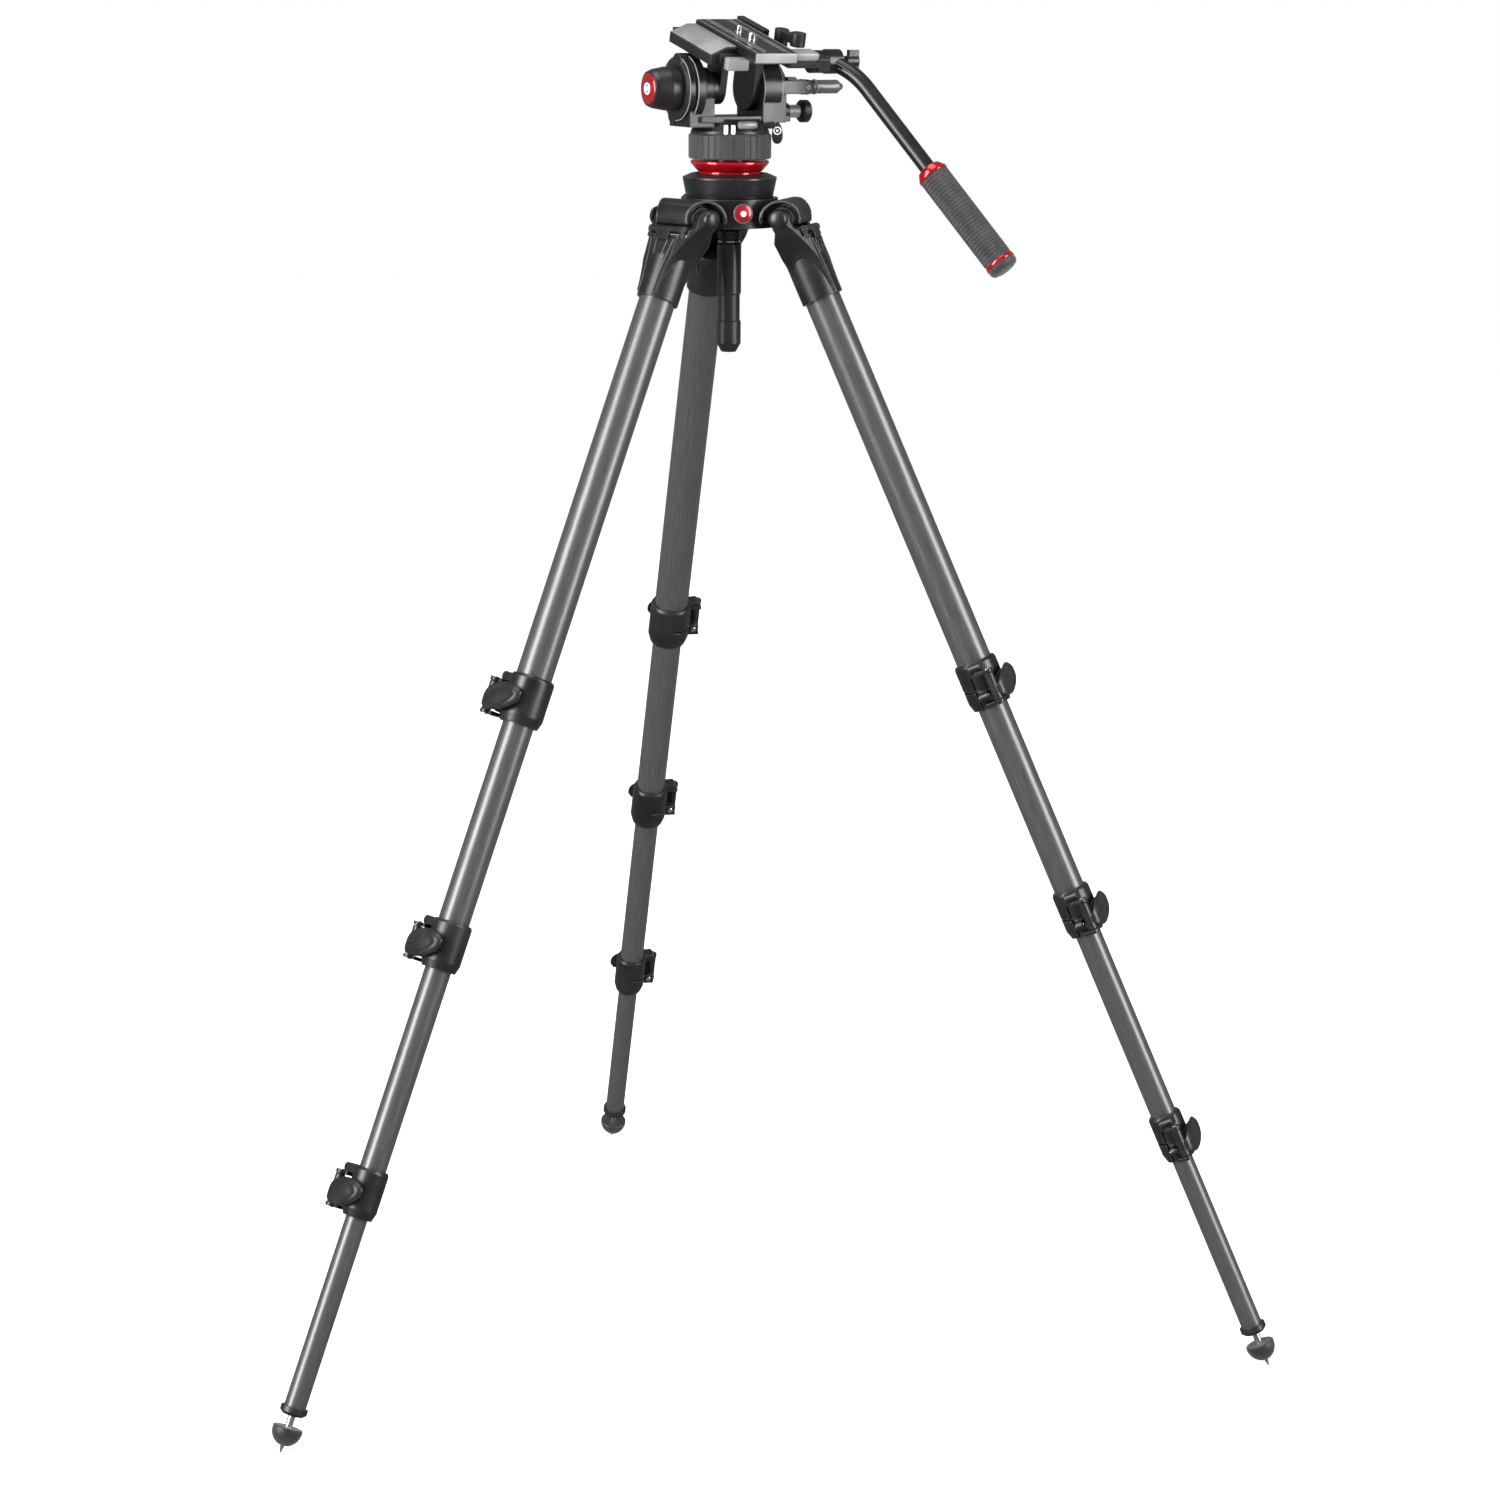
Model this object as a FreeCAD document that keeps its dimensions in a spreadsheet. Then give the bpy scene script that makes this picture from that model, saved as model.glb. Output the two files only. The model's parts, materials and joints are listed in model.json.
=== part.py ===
import FreeCAD, Part
import math
import os
import re

import Sketcher

# Camera tripod with a fluid head. Millimetres, +Z up. The origin is on the floor, on the
# vertical axis that the three legs stand round; the spike tips touch Z = 0.
#
# Leg pieces are drawn in the leg's own frame and placed three times: origin at the spread
# hinge, +Z up the leg, +X outwards, +Y along the hinge pin. Head pieces are drawn in the
# pan frame (+X along the tilt axis to the operator's right, +Y towards the lens), and those
# on the tilting carriage in the carriage frame, which has its origin on the tilt axis.

V = FreeCAD.Vector
Placement = FreeCAD.Placement
Rotation = FreeCAD.Rotation

DIMENSIONS = {
    # stance
    "leg_angle": 24.39,
    "leg_length": 1357.0,
    "hinge_radius": 65.8,
    "first_leg_azimuth": -136.1,
    "running_gap": 0.05,
    # telescopic legs: section 1 is the top one; drops are measured down the leg
    "tube_radius_1": 19.4,
    "tube_radius_2": 16.8,
    "tube_radius_3": 14.2,
    "tube_radius_4": 11.7,
    "tube_wall": 1.5,
    "tube_top_1": 58.0,
    "tube_top_2": 300.0,
    "tube_top_3": 565.0,
    "tube_top_4": 782.0,
    "tube_end_4": 1309.0,
    "bush_length": 40.0,
    "clamp_drop_1": 541.5,
    "clamp_drop_2": 810.6,
    "clamp_drop_3": 1079.4,
    "clamp_length": 52.0,
    "clamp_wall": 4.2,
    "jaw_length": 18.0,
    "pinch_drop": 12.5,
    # flip lever of a tube clamp
    "lever_pin_radius": 2.5,
    "lever_height": 31.0,
    "knuckle_radius": 6.0,
    # leg head casting
    "fork_half_width": 41.0,
    "fork_slot_half": 28.4,
    "fork_length": 94.0,
    "sleeve_radius": 22.5,
    "arm_end_radius": 10.0,
    "hinge_pin_radius": 4.0,
    "panel_top": 26.0,
    "panel_inner": 15.0,
    "panel_outer": 20.0,
    "panel_half_width": 20.0,
    "flank_foot": 13.5,
    "flank_radius": 178.0,
    # angle catch
    "catch_drop": 20.0,
    "catch_offset": 17.0,
    "catch_radius": 4.4,
    "catch_half_width": 21.7,
    # foot
    "stud_radius": 4.0,
    "foot_radius": 16.0,
    "foot_top": 1330.0,
    "foot_bottom": 1349.0,
    "spike_tip_radius": 0.8,
    # spider and bowl
    "hood_radius": 20.0,
    "hood_bore": 17.0,
    "hood_web_half": 23.0,
    "lug_radius": 12.5,
    "lug_half_width": 27.9,
    "facet_distance": 61.5,
    "spider_top": 19.6,
    "spider_bottom": 11.0,
    "spider_bore": 34.0,
    "clamp_seat_bore": 19.0,
    "bowl_foot_radius": 46.5,
    "bowl_rim_radius": 50.5,
    "bowl_mouth_radius": 41.2,
    "bowl_height": 25.0,
    "bowl_rim_drop": 4.0,
    "ball_radius": 37.4,
    "ball_height": 41.2,
    # head base
    "ring_bottom_radius": 33.3,
    "ring_top_radius": 42.0,
    "ring_height": 16.5,
    "shaft_radius": 12.0,
    "drum_radius": 44.3,
    "drum_height": 26.5,
    "pan_base_radius": 42.0,
    "tie_handle_radius": 13.0,
    # yoke of the pan body; reaches are measured along the tilt axis from its middle
    "head_azimuth": 28.0,
    "rest_tilt": 13.3,
    "tilt_height": 1371.0,
    "arm_disc_radius": 35.5,
    "left_reach": 66.0,
    "left_inner": 31.0,
    "right_inner": 24.0,
    "right_shoulder": 46.0,
    "right_reach": 58.0,
    "yoke_drop": 47.5,
    "yoke_floor": 35.0,
    "trunnion_radius": 8.0,
    # knobs and lever on the yoke
    "knob_radius": 23.0,
    "pan_lock_reach": 63.0,
    "pan_lock_setback": 10.0,
    "pan_lock_drop": 25.0,
    "pan_lock_radius": 12.0,
    "tilt_lock_reach": 78.0,
    "tilt_lock_setback": 20.2,
    "tilt_lock_radius": 7.3,
    "ear_setback": 27.5,
    "ear_thickness": 5.0,
    # tilting carriage
    "hub_radius": 17.0,
    "cheek_height": 42.5,
    "deck_floor": 42.0,
    "deck_left": 45.0,
    "deck_right": 34.0,
    "deck_back": 64.0,
    "deck_length": 124.0,
    "rail_height": 7.3,
    "ledge_reach": 56.0,
    "plate_lock_reach": 46.5,
    "bracket_reach": 86.0,
    "plate_width": 50.0,
    "plate_length": 140.0,
    "plate_thickness": 11.5,
    "plate_floor": 50.5,
    "plate_setback": 23.0,
    "screw_radius_large": 4.76,
    "screw_radius_small": 3.175,
    "screw_spacing": 30.0,
    "screw_collar": 1.8,
    "screw_stand": 7.0,
    # pan bar
    "bar_bolt_radius": 3.0,
    "rosette_radius": 13.0,
    "wing_span": 24.0,
    "bar_radius": 8.5,
    "bar_bend_radius": 90.0,
    "grip_radius": 16.5,
    "grip_length": 125.0,
}

doc = FreeCAD.newDocument("Tripod")
sheet = doc.addObject("Spreadsheet::Sheet", "Dims")
nodes = []


def fill_sheet():
    for row, (alias, number) in enumerate(DIMENSIONS.items(), start=1):
        sheet.set(f"A{row}", alias)
        sheet.set(f"B{row}", str(number))
        sheet.setAlias(f"B{row}", alias)
    doc.recompute()


def bound(text):
    """The expression with the sheet's name in front of every alias."""
    def qualify(match):
        word = match.group()
        return f"Dims.{word}" if word in DIMENSIONS else word
    return re.sub(r"[a-z_]\w*", qualify, str(text))


def value(text):
    """The number that an expression gives with the sheet's sizes."""
    return float(sheet.evalExpression(bound(text)))


def finish(item, label, place):
    """Name a finished sub-part and put it in its place."""
    item.Label = label
    item.Placement = place
    nodes.append(item)
    return item


# --- Sketched features -------------------------------------------------------------------

def new_body():
    return doc.addObject("PartDesign::Body", "Body")


def arc_between(start, end, radius, turn):
    """Arc from start to end; turn is +1 for counter-clockwise and -1 for clockwise."""
    chord = end - start
    middle = (start + end) * 0.5
    left = V(-chord.y, chord.x, 0).normalize() * turn
    centre = middle + left * math.sqrt(max(radius**2 - (chord.Length / 2)**2, 0))
    return Part.Arc(start, centre - left * radius, end)


def outline(body, plane, corners, arcs=None):
    """Closed sketch on an origin plane. Corners are pairs of expressions; arcs gives, for
    the edge that leaves a corner, its radius expression and its turn."""
    arcs = arcs or {}
    sketch = body.newObject("Sketcher::SketchObject", "Sketch")
    planes = {item.Role: item for item in body.Origin.OriginFeatures}
    sketch.AttachmentSupport = (planes[plane], [""])
    sketch.MapMode = "FlatFace"
    points = [V(value(x), value(y), 0) for x, y in corners]
    ends = []
    for index, start in enumerate(points):
        end = points[(index + 1) % len(points)]
        if index in arcs:
            radius, turn = arcs[index]
            sketch.addGeometry(arc_between(start, end, value(radius), turn))
            ends.append((1, 2) if turn > 0 else (2, 1))
        else:
            sketch.addGeometry(Part.LineSegment(start, end))
            ends.append((1, 2))
    for index in range(len(points)):
        after = (index + 1) % len(points)
        sketch.addConstraint(
            Sketcher.Constraint("Coincident", index, ends[index][1], after, ends[after][0]))
    for index, corner in enumerate(corners):
        for kind, text in zip(("DistanceX", "DistanceY"), corner):
            drive(sketch, text, kind, -1, 1, index, ends[index][0])
    for index, (radius, _turn) in arcs.items():
        drive(sketch, radius, "Radius", index)
    return sketch


def drive(sketch, text, kind, *where):
    """Add a sized constraint and bind it to its expression."""
    number = sketch.addConstraint(Sketcher.Constraint(kind, *where, value(text)))
    sketch.setExpression(f"Constraints[{number}]", bound(text))


def circle(body, plane, radius, centre=("0", "0")):
    sketch = body.newObject("Sketcher::SketchObject", "Sketch")
    planes = {item.Role: item for item in body.Origin.OriginFeatures}
    sketch.AttachmentSupport = (planes[plane], [""])
    sketch.MapMode = "FlatFace"
    middle = V(value(centre[0]), value(centre[1]), 0)
    sketch.addGeometry(Part.Circle(middle, V(0, 0, 1), value(radius)))
    drive(sketch, centre[0], "DistanceX", -1, 1, 0, 3)
    drive(sketch, centre[1], "DistanceY", -1, 1, 0, 3)
    drive(sketch, radius, "Radius", 0)
    return sketch


def extrude(body, kind, sketch, length, side="Symmetric", reverse=False):
    """A Pad or a Pocket of a given length from the sketch's plane."""
    feature = body.newObject(f"PartDesign::{kind}", kind)
    feature.Profile = sketch
    feature.SideType = side
    feature.Reversed = reverse
    feature.setExpression("Length", bound(length))
    sketch.Visibility = False
    return feature


def pocket(body, sketch, length, side="Symmetric", reverse=False):
    """A Pocket that must remove material."""
    doc.recompute()
    before = body.Shape.Volume
    feature = extrude(body, "Pocket", sketch, length, side, reverse)
    doc.recompute()
    if body.Shape.Volume > before - 1e-3:
        raise RuntimeError(f"{feature.Name} in {body.Name} cuts nothing")
    return feature


def revolved(corners, arcs=None, axis="V_Axis"):
    """A body of revolution: corners are radius and height about V_Axis, which is the body's
    Z, or length and radius about H_Axis, which is its X."""
    body = new_body()
    sketch = outline(body, "XZ_Plane", corners, arcs)
    spin = body.newObject("PartDesign::Revolution", "Revolution")
    spin.Profile = sketch
    spin.ReferenceAxis = (sketch, [axis])
    spin.Angle = 360
    sketch.Visibility = False
    return body


def turned(label, corners, place, arcs=None):
    """A finished piece turned about its own Z."""
    return finish(revolved(corners, arcs), label, place)


# --- Solid primitives --------------------------------------------------------------------

ALONG = {
    "x": Rotation(V(0, 1, 0), 90),
    "y": Rotation(V(1, 0, 0), -90),
    "z": Rotation(),
}


def put(item, at, turn):
    item.Placement = Placement(V(), turn)
    for axis, text in zip("xyz", at):
        item.setExpression(f"Placement.Base.{axis}", bound(text))
    return item


def rod(axis, radius, length, at):
    """Cylinder that starts at a point and runs along an axis."""
    item = doc.addObject("Part::Cylinder", "Rod")
    item.setExpression("Radius", bound(radius))
    item.setExpression("Height", bound(length))
    return put(item, at, ALONG[axis])


def taper(axis, radius_1, radius_2, length, at):
    item = doc.addObject("Part::Cone", "Taper")
    item.setExpression("Radius1", bound(radius_1))
    item.setExpression("Radius2", bound(radius_2))
    item.setExpression("Height", bound(length))
    return put(item, at, ALONG[axis])


def block(size, at, turn=Rotation()):
    """Box from its lowest corner."""
    item = doc.addObject("Part::Box", "Block")
    for name, text in zip(("Length", "Width", "Height"), size):
        item.setExpression(name, bound(text))
    return put(item, at, turn)


def joined(pieces):
    if len(pieces) == 1:
        return pieces[0]
    item = doc.addObject("Part::MultiFuse", "Joined")
    item.Shapes = pieces
    item.Refine = True
    return item


def common(pieces):
    item = doc.addObject("Part::MultiCommon", "Overlap")
    item.Shapes = pieces
    return item


def carved(base, tools):
    item = doc.addObject("Part::Cut", "Carved")
    item.Base = base
    item.Tool = joined(tools)
    item.Refine = True
    return item


# --- Frames ------------------------------------------------------------------------------

def hinge_height():
    """Height of the spread hinges that leaves the lowest rim of a spike tip on Z = 0."""
    return value("leg_length * cos(leg_angle) + spike_tip_radius * sin(leg_angle)")


def hinge_frame(leg, lean):
    azimuth = value("first_leg_azimuth") + 120 * leg
    turn = Rotation(V(0, 0, 1), azimuth).multiply(Rotation(V(0, 1, 0), -lean))
    outwards = Rotation(V(0, 0, 1), azimuth).multVec(V(value("hinge_radius"), 0, 0))
    return Placement(outwards + V(0, 0, hinge_height()), turn)


def leg_frame(leg):
    return hinge_frame(leg, value("leg_angle"))


def base_frame(height=0.0):
    return Placement(V(0, 0, height), Rotation())


def pan_frame():
    return Placement(V(0, 0, value("tilt_height")), Rotation(V(0, 0, 1), value("head_azimuth")))


def carriage_frame():
    lift = Placement(V(), Rotation(V(1, 0, 0), value("rest_tilt")))
    return pan_frame().multiply(lift)


# --- Leg pieces --------------------------------------------------------------------------

def fork(label, place):
    """Leg head casting: two arms that straddle the spider's lug, an outer panel between
    them, and a sleeve that holds the top tube."""
    body = new_body()
    side = [
        ("-arm_end_radius", "0"), ("-arm_end_radius", "-12"), ("-17", "-22"), ("-18", "-40"),
        ("-14", "-fork_length + 4"), ("panel_outer", "-fork_length + 4"),
        ("panel_outer", "-panel_top"), ("arm_end_radius", "-14"), ("arm_end_radius", "0"),
    ]
    extrude(body, "Pad", outline(body, "XZ_Plane", side), "2 * fork_half_width")
    extrude(body, "Pad", circle(body, "XZ_Plane", "arm_end_radius"), "2 * fork_half_width")
    for sign in ("", "-"):
        flank = [
            (f"{sign}(fork_half_width + 2)", "12"), (f"{sign}(fork_half_width)", "-8"),
            (f"{sign}(flank_foot)", "-fork_length"),
            (f"{sign}(fork_half_width + 2)", "-fork_length"),
        ]
        turn = -1 if sign else 1
        pocket(body, outline(body, "YZ_Plane", flank, {1: ("flank_radius", turn)}), "80")
        chamfer = [
            ("panel_outer", f"{sign}(panel_half_width)"),
            ("panel_outer - 17", f"{sign}(panel_half_width + 25)"),
            ("panel_outer + 2", f"{sign}(panel_half_width + 25)"),
            ("panel_outer + 2", f"{sign}(panel_half_width)"),
        ]
        pocket(body, outline(body, "XY_Plane", chamfer), "2 * fork_length + 40")
    slot = [
        ("-fork_slot_half", "12"), ("-fork_slot_half", "-15"), ("-sleeve_radius + 6", "-52"),
        ("sleeve_radius - 6", "-52"), ("fork_slot_half", "-15"), ("fork_slot_half", "12"),
    ]
    pocket(body, outline(body, "YZ_Plane", slot), "60", "One side")
    pocket(body, outline(body, "YZ_Plane", slot), "panel_inner", "One side", True)
    mouth = [
        ("-fork_slot_half", "12"), ("-fork_slot_half", "-panel_top"),
        ("fork_slot_half", "-panel_top"), ("fork_slot_half", "12"),
    ]
    pocket(body, outline(body, "YZ_Plane", mouth), "60", "One side", True)
    doc.recompute()
    sleeve = rod("z", "sleeve_radius", "fork_length - 48", ("0", "0", "-fork_length"))
    knuckles = [rod("y", "catch_radius", "4", ("catch_offset", start, "-catch_drop"))
                for start in ("22", "-26")]
    knees = [block(("6", "4", "9"), ("catch_offset - 3.5", start, "-catch_drop - 9"))
             for start in ("22", "-26")]
    holes = [
        rod("z", "tube_radius_1", "fork_length - tube_top_1", ("0", "0", "-fork_length")),
        rod("y", "hinge_pin_radius", "2 * fork_half_width + 4", ("0", "-fork_half_width - 2", "0")),
        rod("y", "2 + running_gap", "60", ("catch_offset", "-30", "-catch_drop")),
    ]
    whole = joined([body, sleeve] + knuckles + knees)
    return finish(carved(whole, holes), label, place)


def tube(label, section, place):
    """One leg section; sections below the first carry a sliding bush at the top."""
    outer = f"tube_radius_{section}"
    inner = f"tube_radius_{section} - tube_wall"
    top = f"-tube_top_{section}"
    if section == 4:
        end = "-tube_end_4"
    else:
        end = f"-(clamp_drop_{section} + clamp_length / 2 - jaw_length)"
    corners = [(inner, end), (outer, end), (outer, top), (inner, top)]
    if section > 1:
        bush = f"tube_radius_{section - 1} - tube_wall - running_gap"
        corners[2:3] = [(outer, f"{top} - bush_length"), (bush, f"{top} - bush_length"), (bush, top)]
    return turned(label, corners, place)


def clamp(label, section, place):
    """Collar glued to the end of a tube, with a split jaw round the next tube, the ears of
    the pinch bolt, and two tabs that hold the lever's pin."""
    upper = f"tube_radius_{section}"
    lower = f"tube_radius_{section + 1}"
    outer = f"({upper} + clamp_wall)"
    top = f"(clamp_length / 2 - clamp_drop_{section})"
    middle = f"(-clamp_drop_{section})"
    bottom = f"(-clamp_length / 2 - clamp_drop_{section})"
    step = f"({bottom} + jaw_length)"
    ring = [
        (f"{lower} + running_gap", bottom), (f"{lower} + 4", bottom),
        (outer, f"{bottom} + 9"), (outer, f"{top} - 3"), (f"{outer} - 1.5", top),
        (upper, top), (upper, step), (f"{lower} + running_gap", step),
    ]
    pin_y = f"(-{outer} - 11.4)"
    pin_x = f"({outer} - 4.6)"
    lever_low = f"({middle} - lever_height / 2 - 4)"
    lever_high = f"({lever_low} + lever_height)"
    boss = []
    for height, radius, length in (("- pinch_drop", "6", f"({outer} - 13.1)"), ("+ 20.5", "5", "14")):
        boss.append(rod("x", radius, length, ("-1", f"-{outer} - 6", f"{middle} {height}")))
        boss.append(block((length, "12", f"2 * {radius} - 1"),
                          ("-1", f"-{outer} - 6", f"{middle} {height} - {radius} + 0.5")))
    tabs = []
    for low in (f"{lever_low} - 4.3", f"{lever_high} + 0.3"):
        tabs.append(rod("z", "knuckle_radius", "4", (pin_x, pin_y, low)))
        tabs.append(block((f"{pin_x} - 4", "12", "4"), ("4", f"{pin_y} - 3", low)))
    pin = rod("z", "lever_pin_radius", "lever_height + 4", (pin_x, pin_y, f"{lever_low} - 2"))
    split = [
        block(("3", "26", "jaw_length + 20"), ("-6", f"-{outer} - 14", f"{bottom} - 1")),
        block((f"{outer} + 4", "tube_radius_1 + 10", "2.4"),
              (f"-{outer} - 4", "-tube_radius_1 - 10", f"{step} + 1.2"),
              Rotation(V(1, 0, 0), 8)),
    ]
    bore = rod("z", upper, "clamp_length - jaw_length", ("0", "0", step))
    jaw_bore = rod("z", f"{lower} + running_gap", "jaw_length + 2", ("0", "0", f"{bottom} - 1"))
    whole = joined([revolved(ring), pin] + boss + tabs)
    return finish(carved(whole, split + [bore, jaw_bore]), label, place)


def lever(label, section, place):
    """Flip lever: a knuckle on the pin and a paddle that wraps the front of the collar."""
    outer = f"(tube_radius_{section} + clamp_wall)"
    pin_y = f"(-{outer} - 11.4)"
    pin_x = f"({outer} - 4.6)"
    near = f"({outer} + 2.8)"
    body = new_body()
    plan = [
        (pin_x, f"{pin_y} - knuckle_radius"), (f"{near} + 0.5", f"{pin_y} - 2.5"),
        (f"{near} + 7", f"-{outer} - 2"), (f"{near} + 9.5", "-9"), (f"{near} + 9.5", "9"),
        (f"{near} + 7", "18"), (f"{near} + 3", "20.5"), (near, "17"), (near, f"-{outer} + 2"),
        (f"{near} - 4", f"{pin_y} + knuckle_radius - 0.6"),
        (pin_x, f"{pin_y} + knuckle_radius"),
    ]
    extrude(body, "Pad", outline(body, "XY_Plane", plan), "lever_height", "One side")
    knuckle = circle(body, "XY_Plane", "knuckle_radius", (pin_x, pin_y))
    extrude(body, "Pad", knuckle, "lever_height", "One side")
    hole = circle(body, "XY_Plane", "lever_pin_radius + running_gap", (pin_x, pin_y))
    pocket(body, hole, "lever_height", "One side", True)
    drop = f"-clamp_drop_{section} - lever_height / 2 - 4"
    lift = Placement(V(0, 0, value(drop)), Rotation())
    return finish(body, label, place.multiply(lift))


def angle_catch(label, place):
    """Sprung catch at the top of the panel: barrel, nose towards the hinge, thumb tab."""
    width = "2 * catch_half_width"
    parts = [
        rod("y", "catch_radius", width, ("catch_offset", "-catch_half_width", "-catch_drop")),
        rod("y", "2", "2 * catch_half_width + 8",
            ("catch_offset", "-catch_half_width - 4", "-catch_drop")),
        block(("2.2", "20", "11"), ("panel_outer + 0.6", "-10", "-catch_drop - 12")),
        block(("5.8", "20", "2.2"), ("catch_offset", "-10", "-catch_drop - 2.5")),
    ]
    return finish(joined(parts), label, place)


def spike(label, place):
    """Stud with a flange that closes the tube's end, and a steel point."""
    corners = [
        ("0", "-tube_end_4 + 22"), ("tube_radius_4 - tube_wall", "-tube_end_4 + 22"),
        ("tube_radius_4 - tube_wall", "-tube_end_4"), ("tube_radius_4 + 2.4", "-tube_end_4"),
        ("tube_radius_4 + 2.4", "-tube_end_4 - 5"), ("tube_radius_4 - 1", "-tube_end_4 - 8"),
        ("stud_radius", "-tube_end_4 - 9"), ("stud_radius", "-foot_bottom + 6"),
        ("spike_tip_radius", "-leg_length"), ("0", "-leg_length"),
    ]
    return turned(label, corners, place)


def foot(label, place):
    """Rubber dome screwed on the stud."""
    bore = "stud_radius + running_gap"
    corners = [
        (bore, "-foot_bottom"), ("6", "-foot_bottom"), ("foot_radius", "-foot_top - 4"),
        ("foot_radius", "-foot_top - 1"), ("foot_radius - 1", "-foot_top"), (bore, "-foot_top"),
    ]
    return turned(label, corners, place, {1: ("foot_radius + 1.5", 1)})


def build_leg(leg):
    place = leg_frame(leg)
    name = f"leg{leg + 1}"
    fork(f"{name}_fork", place)
    angle_catch(f"{name}_angle_catch", place)
    for section in (1, 2, 3, 4):
        tube(f"{name}_tube_{section}", section, place)
    for section in (1, 2, 3):
        clamp(f"{name}_clamp_{section}", section, place)
        lever(f"{name}_lever_{section}", section, place)
    spike(f"{name}_spike", place)
    foot(f"{name}_foot", place)


# --- Spider, bowl and half ball ----------------------------------------------------------

def spider():
    """Crown casting: three flat facets, a hood and a lug over each hinge, central bore."""
    reach = "2 * facet_distance"
    body = new_body()
    triangle = [(f"{reach} * cos({turn} + first_leg_azimuth)",
                 f"{reach} * sin({turn} + first_leg_azimuth)") for turn in (0, 120, 240)]
    extrude(body, "Pad", outline(body, "XY_Plane", triangle), "80")
    doc.recompute()
    drums = [rod("z", "52", "spider_top + spider_bottom", ("0", "0", "-spider_bottom"))]
    bores = []
    for leg in range(3):
        azimuth = value("first_leg_azimuth") + 120 * leg
        turn = Rotation(V(0, 0, 1), azimuth)
        for part, group in ((hood_solid(), drums), (hood_cuts(), bores)):
            shell = doc.addObject("Part::Feature", "Hood")
            shell.Shape = part
            shell.Placement = Placement(turn.multVec(V(value("hinge_radius"), 0, 0)), turn)
            group.append(shell)
    centre = [
        rod("z", "spider_bore", "40", ("0", "0", "-spider_bottom + 8")),
        rod("z", "clamp_seat_bore", "60", ("0", "0", "-30")),
    ]
    crown = carved(common([body, joined(drums)]), bores + centre)
    return finish(crown, "spider", base_frame(hinge_height()))


def hood_solid():
    """Cylinder round one hinge, flat on top and open below, in the hinge's frame."""
    radius = value("hood_radius")
    long = 100.0
    drum = Part.makeCylinder(radius, long, V(0, -long / 2, 0), V(0, 1, 0))
    top = value("spider_top")
    low = Part.makeBox(90, long, 40, V(-45, -long / 2, -5 - 40))
    high = Part.makeBox(90, long, 40, V(-45, -long / 2, top))
    lug = Part.makeCylinder(value("lug_radius"), 2 * value("lug_half_width"),
                            V(0, -value("lug_half_width"), 0), V(0, 1, 0))
    return drum.cut(low).cut(high).fuse(lug)


def hood_cuts():
    """Room for the leg's arms on both sides of the web, flutes, and the hinge pin's hole."""
    long = 60.0
    web = value("hood_web_half")
    lug = Part.makeCylinder(value("lug_radius"), 2 * value("lug_half_width"),
                            V(0, -value("lug_half_width"), 0), V(0, 1, 0))
    cuts = []
    for side in (1, -1):
        room = Part.makeCylinder(value("hood_bore"), long, V(0, side * web, 0), V(0, side, 0))
        below = Part.makeBox(34, long, 40, V(-17, web if side > 0 else -web - long, -40))
        cuts.append(room.fuse(below).cut(lug))
    for angle in (8, 48):
        edge = V(math.cos(math.radians(angle)), 0, math.sin(math.radians(angle)))
        groove = Part.makeCylinder(1.1, 2 * long, edge * (value("hood_radius") + 0.3) - V(0, long, 0),
                                   V(0, 1, 0))
        cuts.append(groove)
    pin = Part.makeCylinder(value("hinge_pin_radius"), 90, V(0, -45, 0), V(0, 1, 0))
    return cuts[0].multiFuse(cuts[1:] + [pin])


def hinge_pins():
    """The three spread-hinge pins, one group of separate solids."""
    pins = []
    for leg in range(3):
        frame = hinge_frame(leg, 0)
        pin = Part.makeCylinder(value("hinge_pin_radius - running_gap"),
                                value("2 * fork_half_width - 4"),
                                V(0, -value("fork_half_width - 2"), 0), V(0, 1, 0))
        pin.Placement = frame
        pins.append(pin)
    group = doc.addObject("Part::Feature", "Pins")
    group.Shape = Part.makeCompound(pins)
    return finish(group, "hinge_pins", Placement())


def bowl():
    """Levelling bowl: a ring with a spherical seat for the half ball, centred at Z = 0."""
    seat = "ball_radius + running_gap"
    foot_z = "-bowl_height + bowl_rim_drop"
    mouth = f"sqrt(({seat})^2 - (bowl_rim_drop)^2)"
    throat = f"sqrt(({seat})^2 - ({foot_z})^2)"
    corners = [
        (throat, foot_z), ("bowl_foot_radius", foot_z), ("bowl_rim_radius", "-1.5"),
        ("bowl_rim_radius", "0"), ("bowl_mouth_radius", "bowl_rim_drop"), (mouth, "bowl_rim_drop"),
    ]
    return turned("bowl", corners, base_frame(ball_centre()), {5: (seat, -1)})


def ball_centre():
    return hinge_height() + value("ball_height")


def half_ball():
    """Half ball with the clamping stud below and the pan shaft above."""
    cut_z = "-26"
    cut_r = f"sqrt(ball_radius^2 - ({cut_z})^2)"
    corners = [
        ("0", "-78"), ("6", "-78"), ("6", cut_z), (cut_r, cut_z),
        ("sqrt(ball_radius^2 - 1)", "1"), ("20", "1"), ("20", "1 + ring_height + 1.5"),
        ("shaft_radius", "1 + ring_height + 1.5"), ("shaft_radius", "62"), ("0", "62"),
    ]
    return turned("half_ball", corners, base_frame(ball_centre()), {3: ("ball_radius", 1)})


def accent_ring():
    """Flared anodised ring between the half ball and the drag drum."""
    corners = [
        ("20", "1"), ("ring_bottom_radius - 0.8", "1"), ("ring_bottom_radius", "2"),
        ("ring_bottom_radius", "5.5"), ("ring_bottom_radius + 1.5", "6.5"),
        ("ring_top_radius - 0.5", "14"), ("ring_top_radius", "15"),
        ("ring_top_radius", "ring_height"), ("ring_top_radius - 1", "ring_height + 1"),
        ("20", "ring_height + 1"),
    ]
    return turned("accent_ring", corners, base_frame(ball_centre()))


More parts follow.
